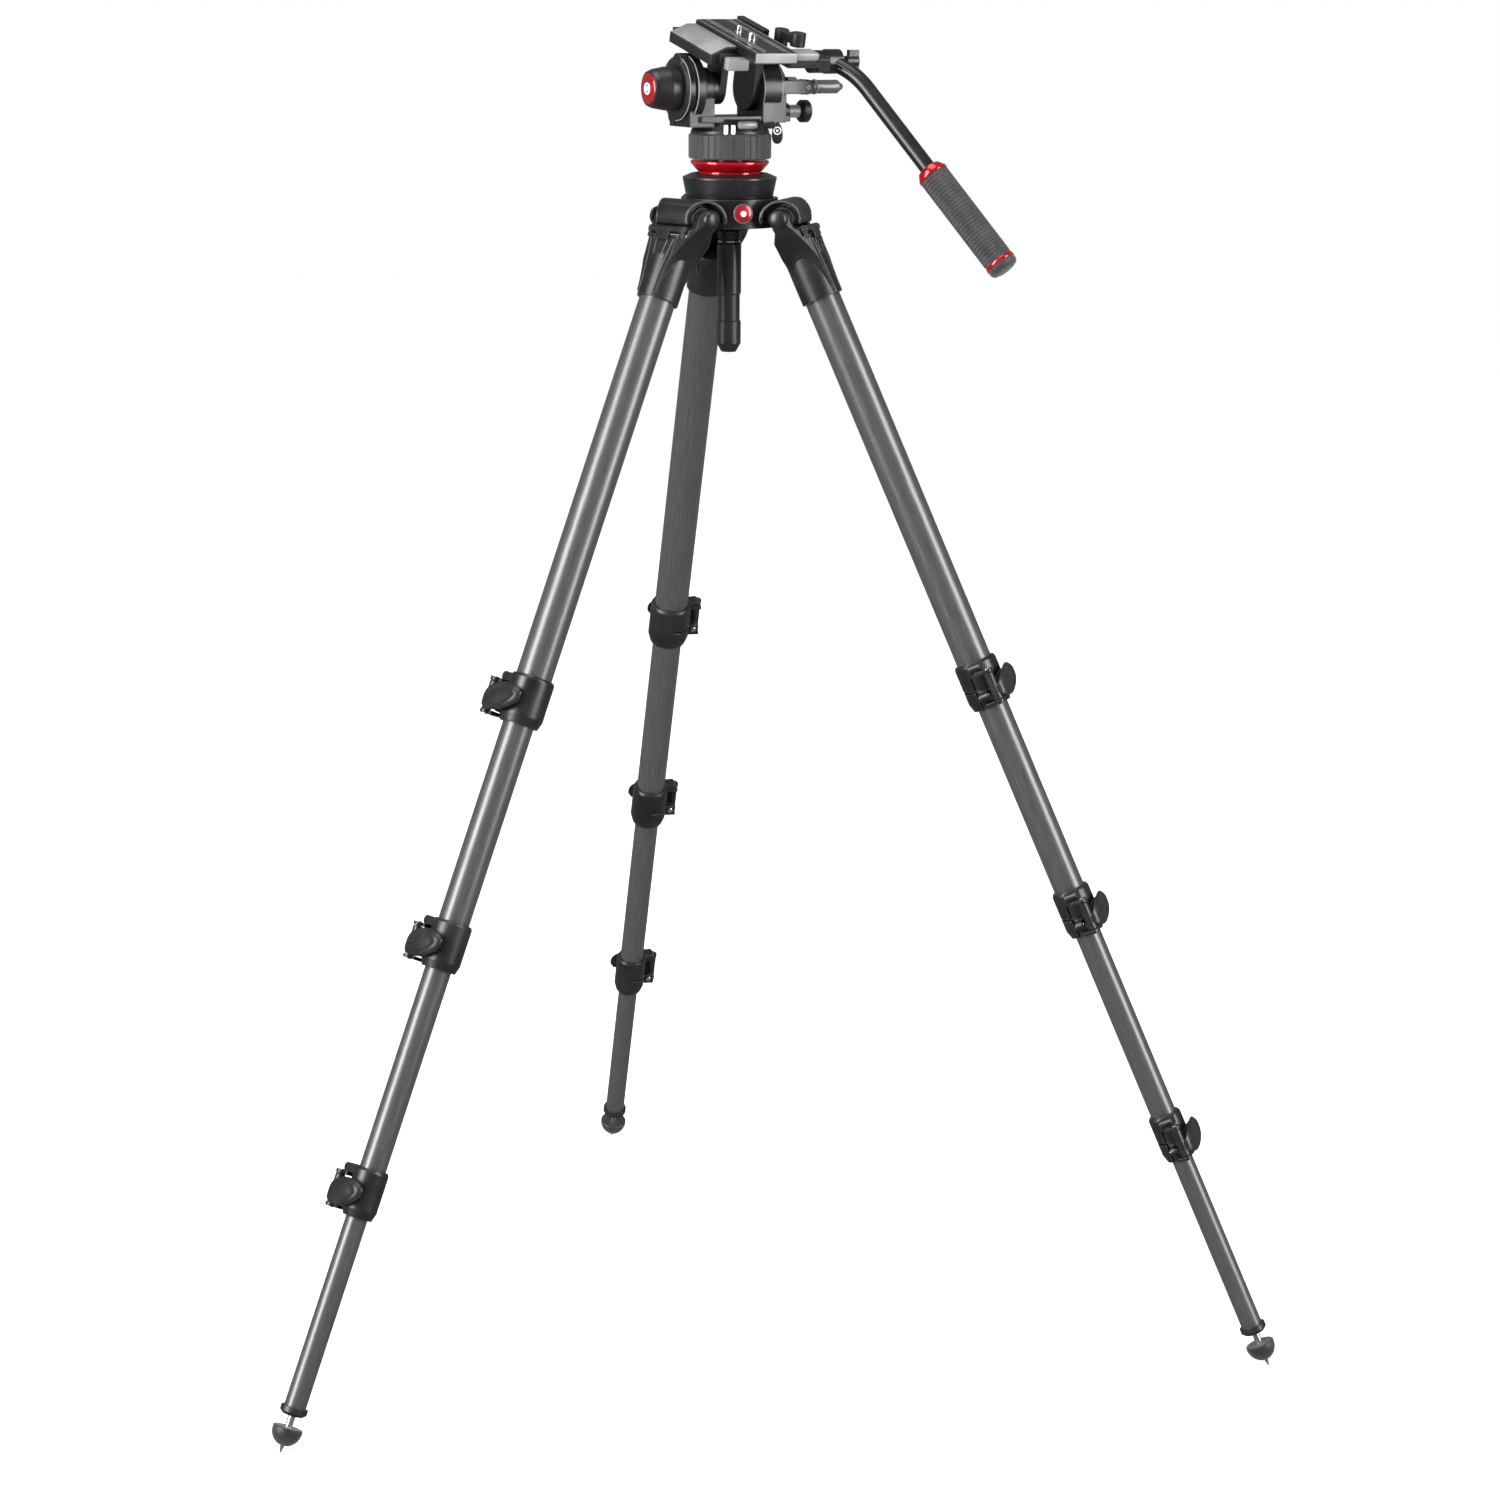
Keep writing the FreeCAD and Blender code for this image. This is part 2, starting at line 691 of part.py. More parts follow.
def tie_down_handle():
    """Handle on the stud that pulls the half ball into the bowl."""
    bore = "6 + running_gap"
    corners = [
        (bore, "-57.5"), ("12.3", "-57.5"), ("12.3", "-66"), ("9.5", "-67"), ("9.5", "-70"),
        ("tie_handle_radius", "-71"), ("tie_handle_radius", "-124"),
        ("tie_handle_radius - 1.2", "-125.5"), ("tie_handle_radius - 1.2", "-153"),
        ("tie_handle_radius", "-154"), ("tie_handle_radius", "-178"),
        ("tie_handle_radius - 5", "-187"), ("0", "-188"), ("0", "-79"), (bore, "-79"),
    ]
    return turned("tie_down_handle", corners, base_frame(ball_centre()))


def drag_drum():
    """Rubber-faced pan drag ring with flutes all round."""
    low = "ring_height + 2.8"
    corners = [
        ("20.6", low), ("drum_radius - 1.5", low), ("drum_radius", f"{low} + 1.5"),
        ("drum_radius", f"{low} + drum_height - 1.5"),
        ("drum_radius - 1.5", f"{low} + drum_height"), ("20.6", f"{low} + drum_height"),
    ]
    body = revolved(corners)
    flute = circle(body, "XY_Plane", "1.1", ("drum_radius + 0.4", "0"))
    cut = pocket(body, flute, f"2 * ({low}) + 2 * drum_height + 4")
    ring = body.newObject("PartDesign::PolarPattern", "PolarPattern")
    ring.Originals = [cut]
    ring.Axis = (flute, ["N_Axis"])
    ring.Occurrences = 36
    body.Tip = ring
    return finish(body, "drag_drum", base_frame(ball_centre()))


# --- Pan body ----------------------------------------------------------------------------

def pan_base():
    """Yoke: turned foot, floor plate, a finned left arm and a deep right arm."""
    disc = "arm_disc_radius"
    fins = [
        ("-left_reach", "0"), ("-left_reach", f"{disc} - 6.5"),
        ("-left_reach + 2", f"{disc} - 6.5"), ("-left_reach + 2", f"{disc} - 2"),
        ("-left_reach + 8", f"{disc} - 2"), ("-left_reach + 8", f"{disc} - 4.5"),
        ("-left_reach + 11", f"{disc} - 4.5"), ("-left_reach + 11", disc),
        ("-left_inner - 15", disc), ("-left_inner - 15", f"{disc} - 2.5"),
        ("-left_inner - 9", f"{disc} - 11.5"), ("-left_inner - 9", f"{disc} - 13.5"),
        ("-left_inner", f"{disc} - 13.5"), ("-left_inner", "0"),
    ]
    shell = [
        ("right_inner", "0"), ("right_inner", f"{disc} - 2"), ("right_shoulder", f"{disc} - 2"),
        ("right_shoulder + 6", f"{disc} - 8.5"), ("right_shoulder + 6", "20"),
        ("right_reach", "20"), ("right_reach", "0"),
    ]
    skirt = [
        ("0", "-yoke_drop"), ("pan_base_radius", "-yoke_drop"),
        ("pan_base_radius", "-yoke_drop + 2.5"), ("pan_base_radius - 7", "-yoke_floor + 3"),
        ("0", "-yoke_floor + 3"),
    ]
    columns = [
        block(("29", "48", "30"), ("-left_reach + 6", "-24", "-yoke_floor - 5")),
        block(("28", "60", "32"), ("right_inner", "-30", "-yoke_floor - 1")),
        block(("106", "56", "6"), ("-left_inner - 17", "-28", "-yoke_floor")),
    ]
    bosses = [
        rod("x", "10", "15", ("-left_reach + 0.2", "-4", "27")),
        rod("x", "8", "14", ("-left_reach", "8", "-28")),
        rod("x", "9", "pan_lock_reach - 50", ("50", "-pan_lock_setback", "-pan_lock_drop")),
        block(("40", "ear_thickness", "14"),
              ("right_shoulder - 2", "-ear_setback - ear_thickness", "-6")),
    ]
    bores = [
        rod("z", "shaft_radius + running_gap", "40", ("0", "0", "-70")),
        rod("x", "trunnion_radius + running_gap", "150", ("-75", "0", "0")),
        rod("x", "4 + running_gap", "14", ("52", "-pan_lock_setback", "-pan_lock_drop")),
        rod("y", "3 + running_gap", "ear_thickness + 2",
            ("tilt_lock_reach", "-ear_setback - ear_thickness - 1", "1")),
    ]
    arms = [revolved(fins, axis="H_Axis"), revolved(shell, axis="H_Axis"), revolved(skirt)]
    whole = joined(arms + columns + bosses)
    return finish(carved(whole, bores), "pan_base", pan_frame())


def turned_along_x(label, corners, at, frame, sign=1):
    """A turned piece whose own Z lies along the frame's +X or -X."""
    turn = Rotation(V(0, 1, 0), 90 * sign)
    base = V(*(value(text) for text in at))
    return turned(label, corners, frame.multiply(Placement(base, turn)))


def tilt_drag_knob():
    """Large knob on the left end of the tilt axis, with a recessed face."""
    corners = [
        ("0", "-7.5"), ("trunnion_radius", "-7.5"), ("trunnion_radius", "0"),
        ("knob_radius - 1", "0"), ("knob_radius", "1"), ("knob_radius", "12"),
        ("knob_radius - 2.5", "26"), ("knob_radius - 4.5", "30.5"), ("knob_radius - 6", "30.5"),
        ("knob_radius - 6.5", "29"), ("0", "29"),
    ]
    return turned_along_x("tilt_drag_knob", corners, ("-left_reach - 0.4", "0", "0"),
                          pan_frame(), -1)


def pan_lock_knob():
    """Lock knob low on the right arm, on a plain stem."""
    rim = "pan_lock_radius"
    corners = [
        ("0", "-8"), ("4", "-8"), ("4", "0.3"), ("6.5", "0.3"), ("6.5", "15"),
        (f"{rim} - 1.5", "16"), (rim, "17.5"), (rim, "24.5"), (f"{rim} - 1.5", "26"), ("0", "26"),
    ]
    at = ("pan_lock_reach", "-pan_lock_setback", "-pan_lock_drop")
    return turned_along_x("pan_lock_knob", corners, at, pan_frame())


def tilt_lock_lever():
    """Tilt lock: a hub on a cross pin and a straight lever with a conical end."""
    reach, back, radius = "tilt_lock_reach", "-tilt_lock_setback", "tilt_lock_radius"
    parts = [
        rod("y", f"{radius} + 0.9", "14", (reach, f"{back} - 7", "1")),
        rod("y", "3", "6", (reach, "-ear_setback - ear_thickness", "1")),
        rod("x", radius, "40", (reach, back, "1")),
        taper("x", radius, "2.5", "7", (f"{reach} + 40", back, "1")),
    ]
    return finish(joined(parts), "tilt_lock_lever", pan_frame())


# --- Tilting carriage --------------------------------------------------------------------

def tilt_body():
    """Carriage: plate channel on two cheeks with trunnions, and the pan bar's bracket."""
    channel = "(plate_width / 2 + 0.3)"
    ledge = new_body()
    slope = [
        (f"-{channel}", "deck_floor + 1"), (f"-{channel}", "plate_floor + rail_height"),
        ("-ledge_reach + 18", "plate_floor + rail_height"),
        ("-ledge_reach", "plate_floor - 1"), ("-ledge_reach", "deck_floor - 3"),
        ("-ledge_reach + 12", "deck_floor - 4"),
    ]
    extrude(ledge, "Pad", outline(ledge, "XZ_Plane", slope), "deck_length - 26")
    ledge.Placement = Placement(V(0, -5, 0), Rotation())
    deck = [
        block(("deck_left + deck_right", "deck_length", "plate_floor - deck_floor"),
              ("-deck_left", "-deck_back", "deck_floor")),
        block((f"deck_right - {channel}", "deck_length", "rail_height"),
              (channel, "-deck_back", "plate_floor")),
        block(("8", "60", "21"), ("deck_right - 4", "-2", "deck_floor")),
        block(("31", "20", "13.5"), ("deck_right - 8", "-deck_back - 16", "deck_floor + 2")),
        block(("25", "10", "12"), ("-deck_left", "-deck_back - 8", "deck_floor - 4")),
        block(("22", "20", "6"), ("deck_right - 2", "-24", "deck_floor - 6")),
    ]
    cheeks = [
        block(("8", "34", "cheek_height - 0.5"), ("-right_inner + 2.4", "-17", "0.5")),
        block(("8", "48", "cheek_height - 0.5"), ("right_inner - 8.5", "-24", "0.5")),
        rod("x", "hub_radius", "17", ("-left_inner + 0.4", "0", "0")),
        rod("x", "hub_radius + 7", "8", ("right_inner - 8.5", "0", "0")),
        rod("x", "trunnion_radius", "40", ("-left_reach + 8", "0", "0")),
        rod("x", "trunnion_radius", "39", ("right_inner - 2", "0", "0")),
    ]
    bracket = [
        block(("38", "14", "14"), ("deck_right - 4", "-deck_back - 2", "deck_floor - 3.5")),
        block(("12", "34", "14"), ("bracket_reach - 18", "-deck_back - 2", "deck_floor - 8")),
        rod("x", "rosette_radius - 1", "18", ("bracket_reach - 18", "-42.1", "39.2")),
    ]
    return finish(joined([ledge] + deck + cheeks + bracket), "tilt_body", carriage_frame())


def plate_frame():
    """Middle of the plate's underside, just clear of the channel's floor."""
    seat = V(0, -value("plate_setback"), value("plate_floor") + 0.2)
    return carriage_frame().multiply(Placement(seat, Rotation()))


CAMERA_SCREWS = (
    ("screw_radius_large", "-screw_spacing * 0.4"),
    ("screw_radius_small", "screw_spacing * 0.6"),
)


def sliding_plate():
    """Long camera plate with bevelled edges and a hole for each camera screw."""
    body = new_body()
    half = "plate_width / 2"
    section = [
        (f"-{half} + 1.2", "0"), (f"{half} - 1.2", "0"), (half, "1.2"),
        (half, "plate_thickness - 1.5"), (f"{half} - 1.5", "plate_thickness"),
        (f"-{half} + 1.5", "plate_thickness"), (f"-{half}", "plate_thickness - 1.5"),
        (f"-{half}", "1.2"),
    ]
    extrude(body, "Pad", outline(body, "XZ_Plane", section), "plate_length")
    for radius, place in CAMERA_SCREWS:
        hole = circle(body, "XY_Plane", f"{radius} + screw_collar + running_gap", ("0", place))
        pocket(body, hole, "2 * plate_thickness + 4")
    return finish(body, "sliding_plate", plate_frame())


def camera_screws():
    """The large and the small camera screw, two separate solids."""
    screws = []
    top = value("plate_thickness")
    for name, place in CAMERA_SCREWS:
        radius = value(name)
        along = value(place)
        thread = value("screw_stand") - radius / 3
        collar = Part.makeCylinder(radius + value("screw_collar"), top, V(0, along, 0))
        shank = Part.makeCylinder(radius, thread, V(0, along, top))
        crown = Part.makeCone(radius, radius * 0.7, radius / 3, V(0, along, top + thread))
        screws.append(collar.multiFuse([shank, crown]).removeSplitter())
    group = doc.addObject("Part::Feature", "Screws")
    group.Shape = Part.makeCompound(screws)
    return finish(group, "camera_screws", plate_frame())


def plate_lock_lever():
    """Lever on the right of the channel that clamps the plate."""
    reach = "plate_lock_reach"
    parts = [
        rod("z", "7.5", "25", (reach, "-14", "deck_floor + 0.1")),
        block(("9", "38", "8"), (f"{reach} - 4.5", "-52", "plate_floor + 8.5")),
        rod("z", "8", "14", (f"{reach} + 0.5", "-50", "plate_floor + 7.5")),
    ]
    return finish(joined(parts), "plate_lock_lever", carriage_frame())


# --- Pan bar -----------------------------------------------------------------------------

# The bolt's axis at the rosette, the bend, and the end inside the grip, in the pan frame.
BAR_ROUTE = (V(94, -50, 28.5), V(110.7, -75.9, 16), V(206.5, -225.5, -179))


def bar_run():
    """Unit directions of the bar's two straight runs."""
    start, bend, end = BAR_ROUTE
    return (bend - start).normalize(), (end - bend).normalize()


def bar_tube():
    """Round bar along its two runs, joined by one tangent arc."""
    start, bend, end = BAR_ROUTE
    first, second = bar_run()
    half_turn = first.getAngle(second) / 2
    trim = min(value("bar_bend_radius") * math.tan(half_turn), (bend - start).Length - 1)
    radius = trim / math.tan(half_turn)
    tangent_in = bend - first * trim
    tangent_out = bend + second * trim
    inwards = (second - first).normalize()
    centre = bend + inwards * (radius / math.cos(half_turn))
    middle = centre - inwards * radius
    path = Part.Wire([
        Part.LineSegment(start, tangent_in).toShape(),
        Part.Arc(tangent_in, middle, tangent_out).toShape(),
        Part.LineSegment(tangent_out, end).toShape(),
    ])
    ring = Part.Wire([Part.makeCircle(value("bar_radius"), start, first)])
    return path.makePipeShell([ring], True, False)


def pan_bar():
    """Bent bar on a rosette that bolts to the carriage's bracket."""
    start = BAR_ROUTE[0]
    axis = V(1, 0, 0)
    face = V(value("bracket_reach") + 0.6, start.y, start.z)
    rosette = Part.makeCylinder(value("rosette_radius"), 17, face, axis)
    bolt = Part.makeCylinder(value("bar_bolt_radius"), 22, face + axis * 13.4, axis)
    solid = bar_tube().fuse([rosette, bolt]).removeSplitter()
    item = doc.addObject("Part::Feature", "Bar")
    item.Shape = solid
    return finish(item, "pan_bar", pan_frame())


def pan_bar_grip():
    """Rubber grip over the end of the bar, with a collar at each end."""
    _first, second = bar_run()
    end = BAR_ROUTE[2]
    frame = Placement(end - second * value("grip_length"), Rotation(V(0, 0, 1), second))
    corners = [
        ("bar_radius", "-8"), ("grip_radius - 3.5", "-8"), ("grip_radius - 1", "-4"),
        ("grip_radius - 1", "0"), ("grip_radius", "1"), ("grip_radius", "grip_length - 6"),
        ("grip_radius - 1", "grip_length - 4"), ("grip_radius - 1", "grip_length"),
        ("grip_radius - 4", "grip_length + 4"), ("0", "grip_length + 5"),
        ("0", "grip_length"), ("bar_radius", "grip_length"),
    ]
    return turned("pan_bar_grip", corners, pan_frame().multiply(frame))


def pan_bar_clamp():
    """Wing knob on the rosette's bolt."""
    start = BAR_ROUTE[0]
    span = value("wing_span")
    hub = Part.makeCylinder(6, 14)
    wing = Part.makeBox(span, 6, 12, V(-span / 2, -3, 3))
    hole = Part.makeCylinder(value("bar_bolt_radius + running_gap"), 12, V(0, 0, -1))
    item = doc.addObject("Part::Feature", "Wing")
    item.Shape = hub.fuse(wing).cut(hole).removeSplitter()
    turn = Rotation(V(0, 1, 0), 90)
    place = Placement(V(value("bracket_reach") + 26.5, start.y, start.z), turn)
    return finish(item, "pan_bar_clamp", pan_frame().multiply(place))


# --- Assembly ----------------------------------------------------------------------------

def check_document():
    for item in doc.Objects:
        if "Invalid" in item.State or "Error" in item.State:
            raise RuntimeError(f"{item.Name} ({item.Label}) failed: {item.State}")
    for item in nodes:
        if item.Shape.isNull() or not item.Shape.isValid():
            raise RuntimeError(f"{item.Label} has no valid shape")
        if not item.Shape.Solids:
            raise RuntimeError(f"{item.Label} holds no solid")


def main():
    fill_sheet()
    spider()
    bowl()
    hinge_pins()
    half_ball()
    accent_ring()
    tie_down_handle()
    drag_drum()
    pan_base()
    tilt_drag_knob()
    pan_lock_knob()
    tilt_lock_lever()
    tilt_body()
    sliding_plate()
    camera_screws()
    plate_lock_lever()
    pan_bar()
    pan_bar_grip()
    pan_bar_clamp()
    for leg in range(3):
        build_leg(leg)
    doc.recompute()
    check_document()
    os.makedirs("parts", exist_ok=True)
    for item in nodes:
        item.Shape.exportStep(f"parts/{item.Label}.step")
    print(len(nodes), "sub-parts written")


main()
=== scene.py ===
"""Looks of the tripod with fluid head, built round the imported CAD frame. Lengths are in metres."""
import json
import math

import bpy
import bmesh
from mathutils import Matrix, Vector


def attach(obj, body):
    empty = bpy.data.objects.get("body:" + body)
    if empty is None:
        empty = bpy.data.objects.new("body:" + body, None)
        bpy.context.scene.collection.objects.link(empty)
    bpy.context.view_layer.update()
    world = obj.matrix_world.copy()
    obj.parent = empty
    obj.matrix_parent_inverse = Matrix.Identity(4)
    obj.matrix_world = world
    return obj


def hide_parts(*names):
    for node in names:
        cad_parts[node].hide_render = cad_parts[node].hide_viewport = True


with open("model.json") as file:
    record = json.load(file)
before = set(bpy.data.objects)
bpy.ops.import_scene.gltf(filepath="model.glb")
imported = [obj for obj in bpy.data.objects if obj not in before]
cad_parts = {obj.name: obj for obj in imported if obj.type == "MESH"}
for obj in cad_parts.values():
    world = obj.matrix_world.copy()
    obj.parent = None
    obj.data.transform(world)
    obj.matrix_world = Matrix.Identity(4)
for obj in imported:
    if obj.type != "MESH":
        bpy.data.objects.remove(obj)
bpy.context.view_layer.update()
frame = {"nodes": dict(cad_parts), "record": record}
MM = 0.001


# ---------------------------------------------------------------- materials
class Nodes:
    """A short way to wire a procedural material in the object's own coordinates."""

    def __init__(self, name):
        self.material = bpy.data.materials.new(name)
        self.material.use_nodes = True
        self.tree = self.material.node_tree
        self.shader = self.tree.nodes["Principled BSDF"]
        self.place = self.add("ShaderNodeTexCoord").outputs["Object"]

    def add(self, kind, **inputs):
        node = self.tree.nodes.new(kind)
        for key, value in inputs.items():
            name = key.replace("_", " ")
            if name in node.inputs:
                self.feed(node.inputs[name], value)
            else:
                setattr(node, key, value)
        return node

    def feed(self, socket, value):
        if isinstance(value, bpy.types.NodeSocket):
            self.tree.links.new(value, socket)
        else:
            socket.default_value = value

    def set(self, **inputs):
        for key, value in inputs.items():
            self.feed(self.shader.inputs[key.replace("_", " ")], value)

    def stretched(self, x, y, z):
        return self.add("ShaderNodeMapping", Vector=self.place, Scale=(x, y, z)).outputs[0]

    def noise(self, scale, detail=3.0, rough=0.5, vector=None):
        node = self.add("ShaderNodeTexNoise", Vector=vector or self.place, Scale=scale,
                        Detail=detail, Roughness=rough)
        return node.outputs["Fac"]

    def ramp(self, fac, low, high, start=0.35, end=0.65):
        node = self.add("ShaderNodeMapRange", Value=fac)
        node.inputs["From Min"].default_value = start
        node.inputs["From Max"].default_value = end
        node.inputs["To Min"].default_value = low
        node.inputs["To Max"].default_value = high
        return node.outputs[0]

    def math(self, operation, a, b=0.0):
        node = self.tree.nodes.new("ShaderNodeMath")
        node.operation = operation
        self.feed(node.inputs[0], a)
        self.feed(node.inputs[1], b)
        return node.outputs[0]

    def mix(self, fac, a, b):
        node = self.tree.nodes.new("ShaderNodeMix")
        node.data_type = "RGBA"
        self.feed(node.inputs[0], fac)
        self.feed(node.inputs[6], a)
        self.feed(node.inputs[7], b)
        return node.outputs[2]

    def edges(self, radius):
        """The rounded normal of sharp edges, and how far it leans from the flat one."""
        bevel = self.tree.nodes.new("ShaderNodeBevel")
        bevel.samples = 4
        bevel.inputs["Radius"].default_value = radius
        flat = self.add("ShaderNodeNewGeometry").outputs["Normal"]
        dot = self.tree.nodes.new("ShaderNodeVectorMath")
        dot.operation = "DOT_PRODUCT"
        self.feed(dot.inputs[0], bevel.outputs[0])
        self.feed(dot.inputs[1], flat)
        lean = self.math("SUBTRACT", 1.0, dot.outputs["Value"])
        return bevel.outputs[0], lean

    def bump(self, height, distance, strength=1.0, normal=None):
        node = self.add("ShaderNodeBump", Height=height, Distance=distance, Strength=strength)
        if normal is not None:
            self.feed(node.inputs["Normal"], normal)
        self.set(Normal=node.outputs[0])


def grey(value):
    return (value, value, value, 1.0)


def satin_metal(name, dark, light, rough, edge_wear_and_highlight_colour, metallic=0.0, grain=0.00004,
                soft_edge=0.0007):
    """Castings and machined parts: fine grain, cloudy sheen, edges painted a little lighter, partly
    as wear and partly as a painted highlight.
    """
    n = Nodes(name)
    cloud = n.noise(26, 4, 0.6)
    fine = n.noise(2600, 2, 0.5)
    normal, lean = n.edges(soft_edge)
    patches = n.ramp(n.noise(180, 3), 0.25, 1.0, 0.35, 0.6)
    # Edge mask: sharp edges painted lighter, part wear and part painted highlight.
    edge_wear_and_highlight = n.math("MULTIPLY", n.ramp(lean, 0.0, 1.0, 0.02, 0.22), patches)
    body = n.mix(n.ramp(cloud, 0.0, 1.0), dark, light)
    n.set(Base_Color=n.mix(edge_wear_and_highlight, body, edge_wear_and_highlight_colour), Metallic=metallic,
          Roughness=n.ramp(cloud, rough - 0.05, rough + 0.06))
    n.bump(fine, grain, 1.0, normal)
    return n.material


def anodised(name, colour, deep, rough):
    """Bright anodised metal under a thin clear film."""
    n = Nodes(name)
    cloud = n.noise(60, 3, 0.5)
    normal, lean = n.edges(0.0006)
    # Sharp edges painted a lighter red, part wear and part painted highlight.
    edge_wear_and_highlight = n.ramp(lean, 0.0, 0.5, 0.03, 0.3)
    body = n.mix(n.ramp(cloud, 0.0, 1.0), deep, colour)
    n.set(Base_Color=n.mix(edge_wear_and_highlight, body, (0.85, 0.25, 0.2, 1.0)),
          Metallic=0.55, Roughness=n.ramp(cloud, rough, rough + 0.06))
    n.shader.inputs["Coat Weight"].default_value = 0.7
    n.shader.inputs["Coat Roughness"].default_value = 0.08
    n.bump(n.noise(2200, 2), 0.00001, 1.0, normal)
    return n.material


def rubber(name, dark, light, rough, grain=0.00006):
    """Moulded rubber: dry and cloudy, with a fine grain; its edges are painted lighter, partly as
    dust and partly as a painted highlight.
    """
    n = Nodes(name)
    cloud = n.noise(45, 4, 0.6)
    normal, lean = n.edges(0.0005)
    # Edge mask: edges painted lighter grey, part dust and part painted highlight.
    edge_dust_and_highlight = n.math("MULTIPLY", n.ramp(lean, 0.0, 0.6, 0.02, 0.3), n.ramp(n.noise(120, 3), 0.2, 1.0))
    n.set(Base_Color=n.mix(edge_dust_and_highlight, n.mix(n.ramp(cloud, 0.0, 1.0), dark, light), grey(0.07)),
          Roughness=n.ramp(cloud, rough - 0.06, rough + 0.06))
    n.shader.inputs["Sheen Weight"].default_value = 0.15
    n.bump(n.noise(1800, 3, 0.7), grain, 1.0, normal)
    return n.material


def moulded(name, dark, light, rough):
    """Glass-filled black plastic with a spark-eroded texture."""
    n = Nodes(name)
    cloud = n.noise(35, 4, 0.55)
    normal, lean = n.edges(0.0006)
    shine = n.math("MULTIPLY", n.ramp(lean, 0.0, 0.8, 0.03, 0.3), n.ramp(n.noise(150, 3), 0.3, 1.0))
    n.set(Base_Color=n.mix(shine, n.mix(n.ramp(cloud, 0.0, 1.0), dark, light), grey(0.09)),
          Roughness=n.ramp(cloud, rough - 0.05, rough + 0.05))
    n.bump(n.noise(1500, 3, 0.6), 0.00005, 1.0, normal)
    return n.material


def bright_steel(name):
    """Turned and polished steel, brushed round its axis."""
    n = Nodes(name)
    brushed = n.noise(900, 3, 0.6, n.stretched(1.0, 1.0, 9.0))
    normal, _ = n.edges(0.0004)
    n.set(Base_Color=n.mix(n.ramp(n.noise(80, 3), 0.0, 1.0), grey(0.55), grey(0.72)), Metallic=1.0,
          Roughness=n.ramp(brushed, 0.16, 0.32))
    n.bump(brushed, 0.00001, 0.6, normal)
    return n.material


def carbon(name, to_leg):
    """Satin carbon-fibre tube: long fibres with a crossed wrap under a clear matt coat. to_leg
    carries the object's frame into the leg's own."""
    n = Nodes(name)
    leg = n.add("ShaderNodeMapping", Vector=n.place, Rotation=to_leg.to_euler(),
                Location=to_leg.to_translation()).outputs[0]
    split = n.add("ShaderNodeSeparateXYZ", Vector=leg)
    angle = n.math("ARCTAN2", split.outputs["Y"], split.outputs["X"])
    around = n.math("MULTIPLY", angle, TUBE_MEAN_RADIUS)
    length = split.outputs["Z"]
    wraps = []
    for slope in (1.0, -1.0):
        lean = n.math("ADD", n.math("MULTIPLY", around, slope), n.math("MULTIPLY", length, 0.55))
        wraps.append(n.math("SINE", n.math("MULTIPLY", lean, WRAPS_PER_METRE)))
    crossed = n.math("MULTIPLY", wraps[0], wraps[1])
    flat = n.add("ShaderNodeCombineXYZ", X=around, Z=n.math("MULTIPLY", length, 0.02))
    fibres = n.noise(1500, 3, 0.6, flat.outputs[0])
    bands = n.noise(9, 2, 0.5, leg)
    tone = n.math("ADD", n.math("MULTIPLY", fibres, 0.65), n.math("MULTIPLY", crossed, 0.03))
    body = n.mix(n.ramp(tone, 0.0, 1.0, 0.2, 0.55), CARBON_DARK, CARBON_LIGHT)
    n.set(Base_Color=n.mix(n.ramp(bands, 0.0, 0.25), body, grey(0.08)), Metallic=0.65,
          Roughness=n.ramp(tone, 0.30, 0.40, 0.2, 0.6))
    n.shader.inputs["Coat Weight"].default_value = 0.08
    n.shader.inputs["Coat Roughness"].default_value = 0.25
    n.shader.inputs["Specular IOR Level"].default_value = 0.3
    n.bump(tone, 0.00001, 0.5)
    return n.material


CARBON_DARK, CARBON_LIGHT = grey(0.055), grey(0.14)
TUBE_MEAN_RADIUS = 0.017
WRAPS_PER_METRE = 2400.0


# ---------------------------------------------------------------- frames of the object
HINGE_RADIUS, HINGE_HEIGHT, LEG_LEAN = 0.0658, 1.236226, math.radians(24.39)
LEG_AZIMUTHS = (-136.1, -16.1, 103.9)


def leg_matrix(azimuth):
    """X out of the leg, Z up along it, origin at the spread hinge."""
    a = math.radians(azimuth)
    out = Vector((math.cos(a), math.sin(a), 0.0))
    up = Vector((0.0, 0.0, 1.0))
    x = out * math.cos(LEG_LEAN) + up * math.sin(LEG_LEAN)
    y = Vector((-math.sin(a), math.cos(a), 0.0))
    z = -out * math.sin(LEG_LEAN) + up * math.cos(LEG_LEAN)
    m = Matrix((x, y, z)).transposed().to_4x4()
    m.translation = out * HINGE_RADIUS + up * HINGE_HEIGHT
    return m


LEGS = [leg_matrix(a) for a in LEG_AZIMUTHS]
TILT_AXIS_HEIGHT, BALL_HEIGHT = 1.371, 1.277426
PAN_ANGLE, TILT_ANGLE = math.radians(28), math.radians(13.3)
SKIRT = Matrix.Translation((0, 0, TILT_AXIS_HEIGHT))
PAN = SKIRT @ Matrix.Rotation(PAN_ANGLE, 4, "Z")
CARRIAGE = PAN @ Matrix.Rotation(TILT_ANGLE, 4, "X")

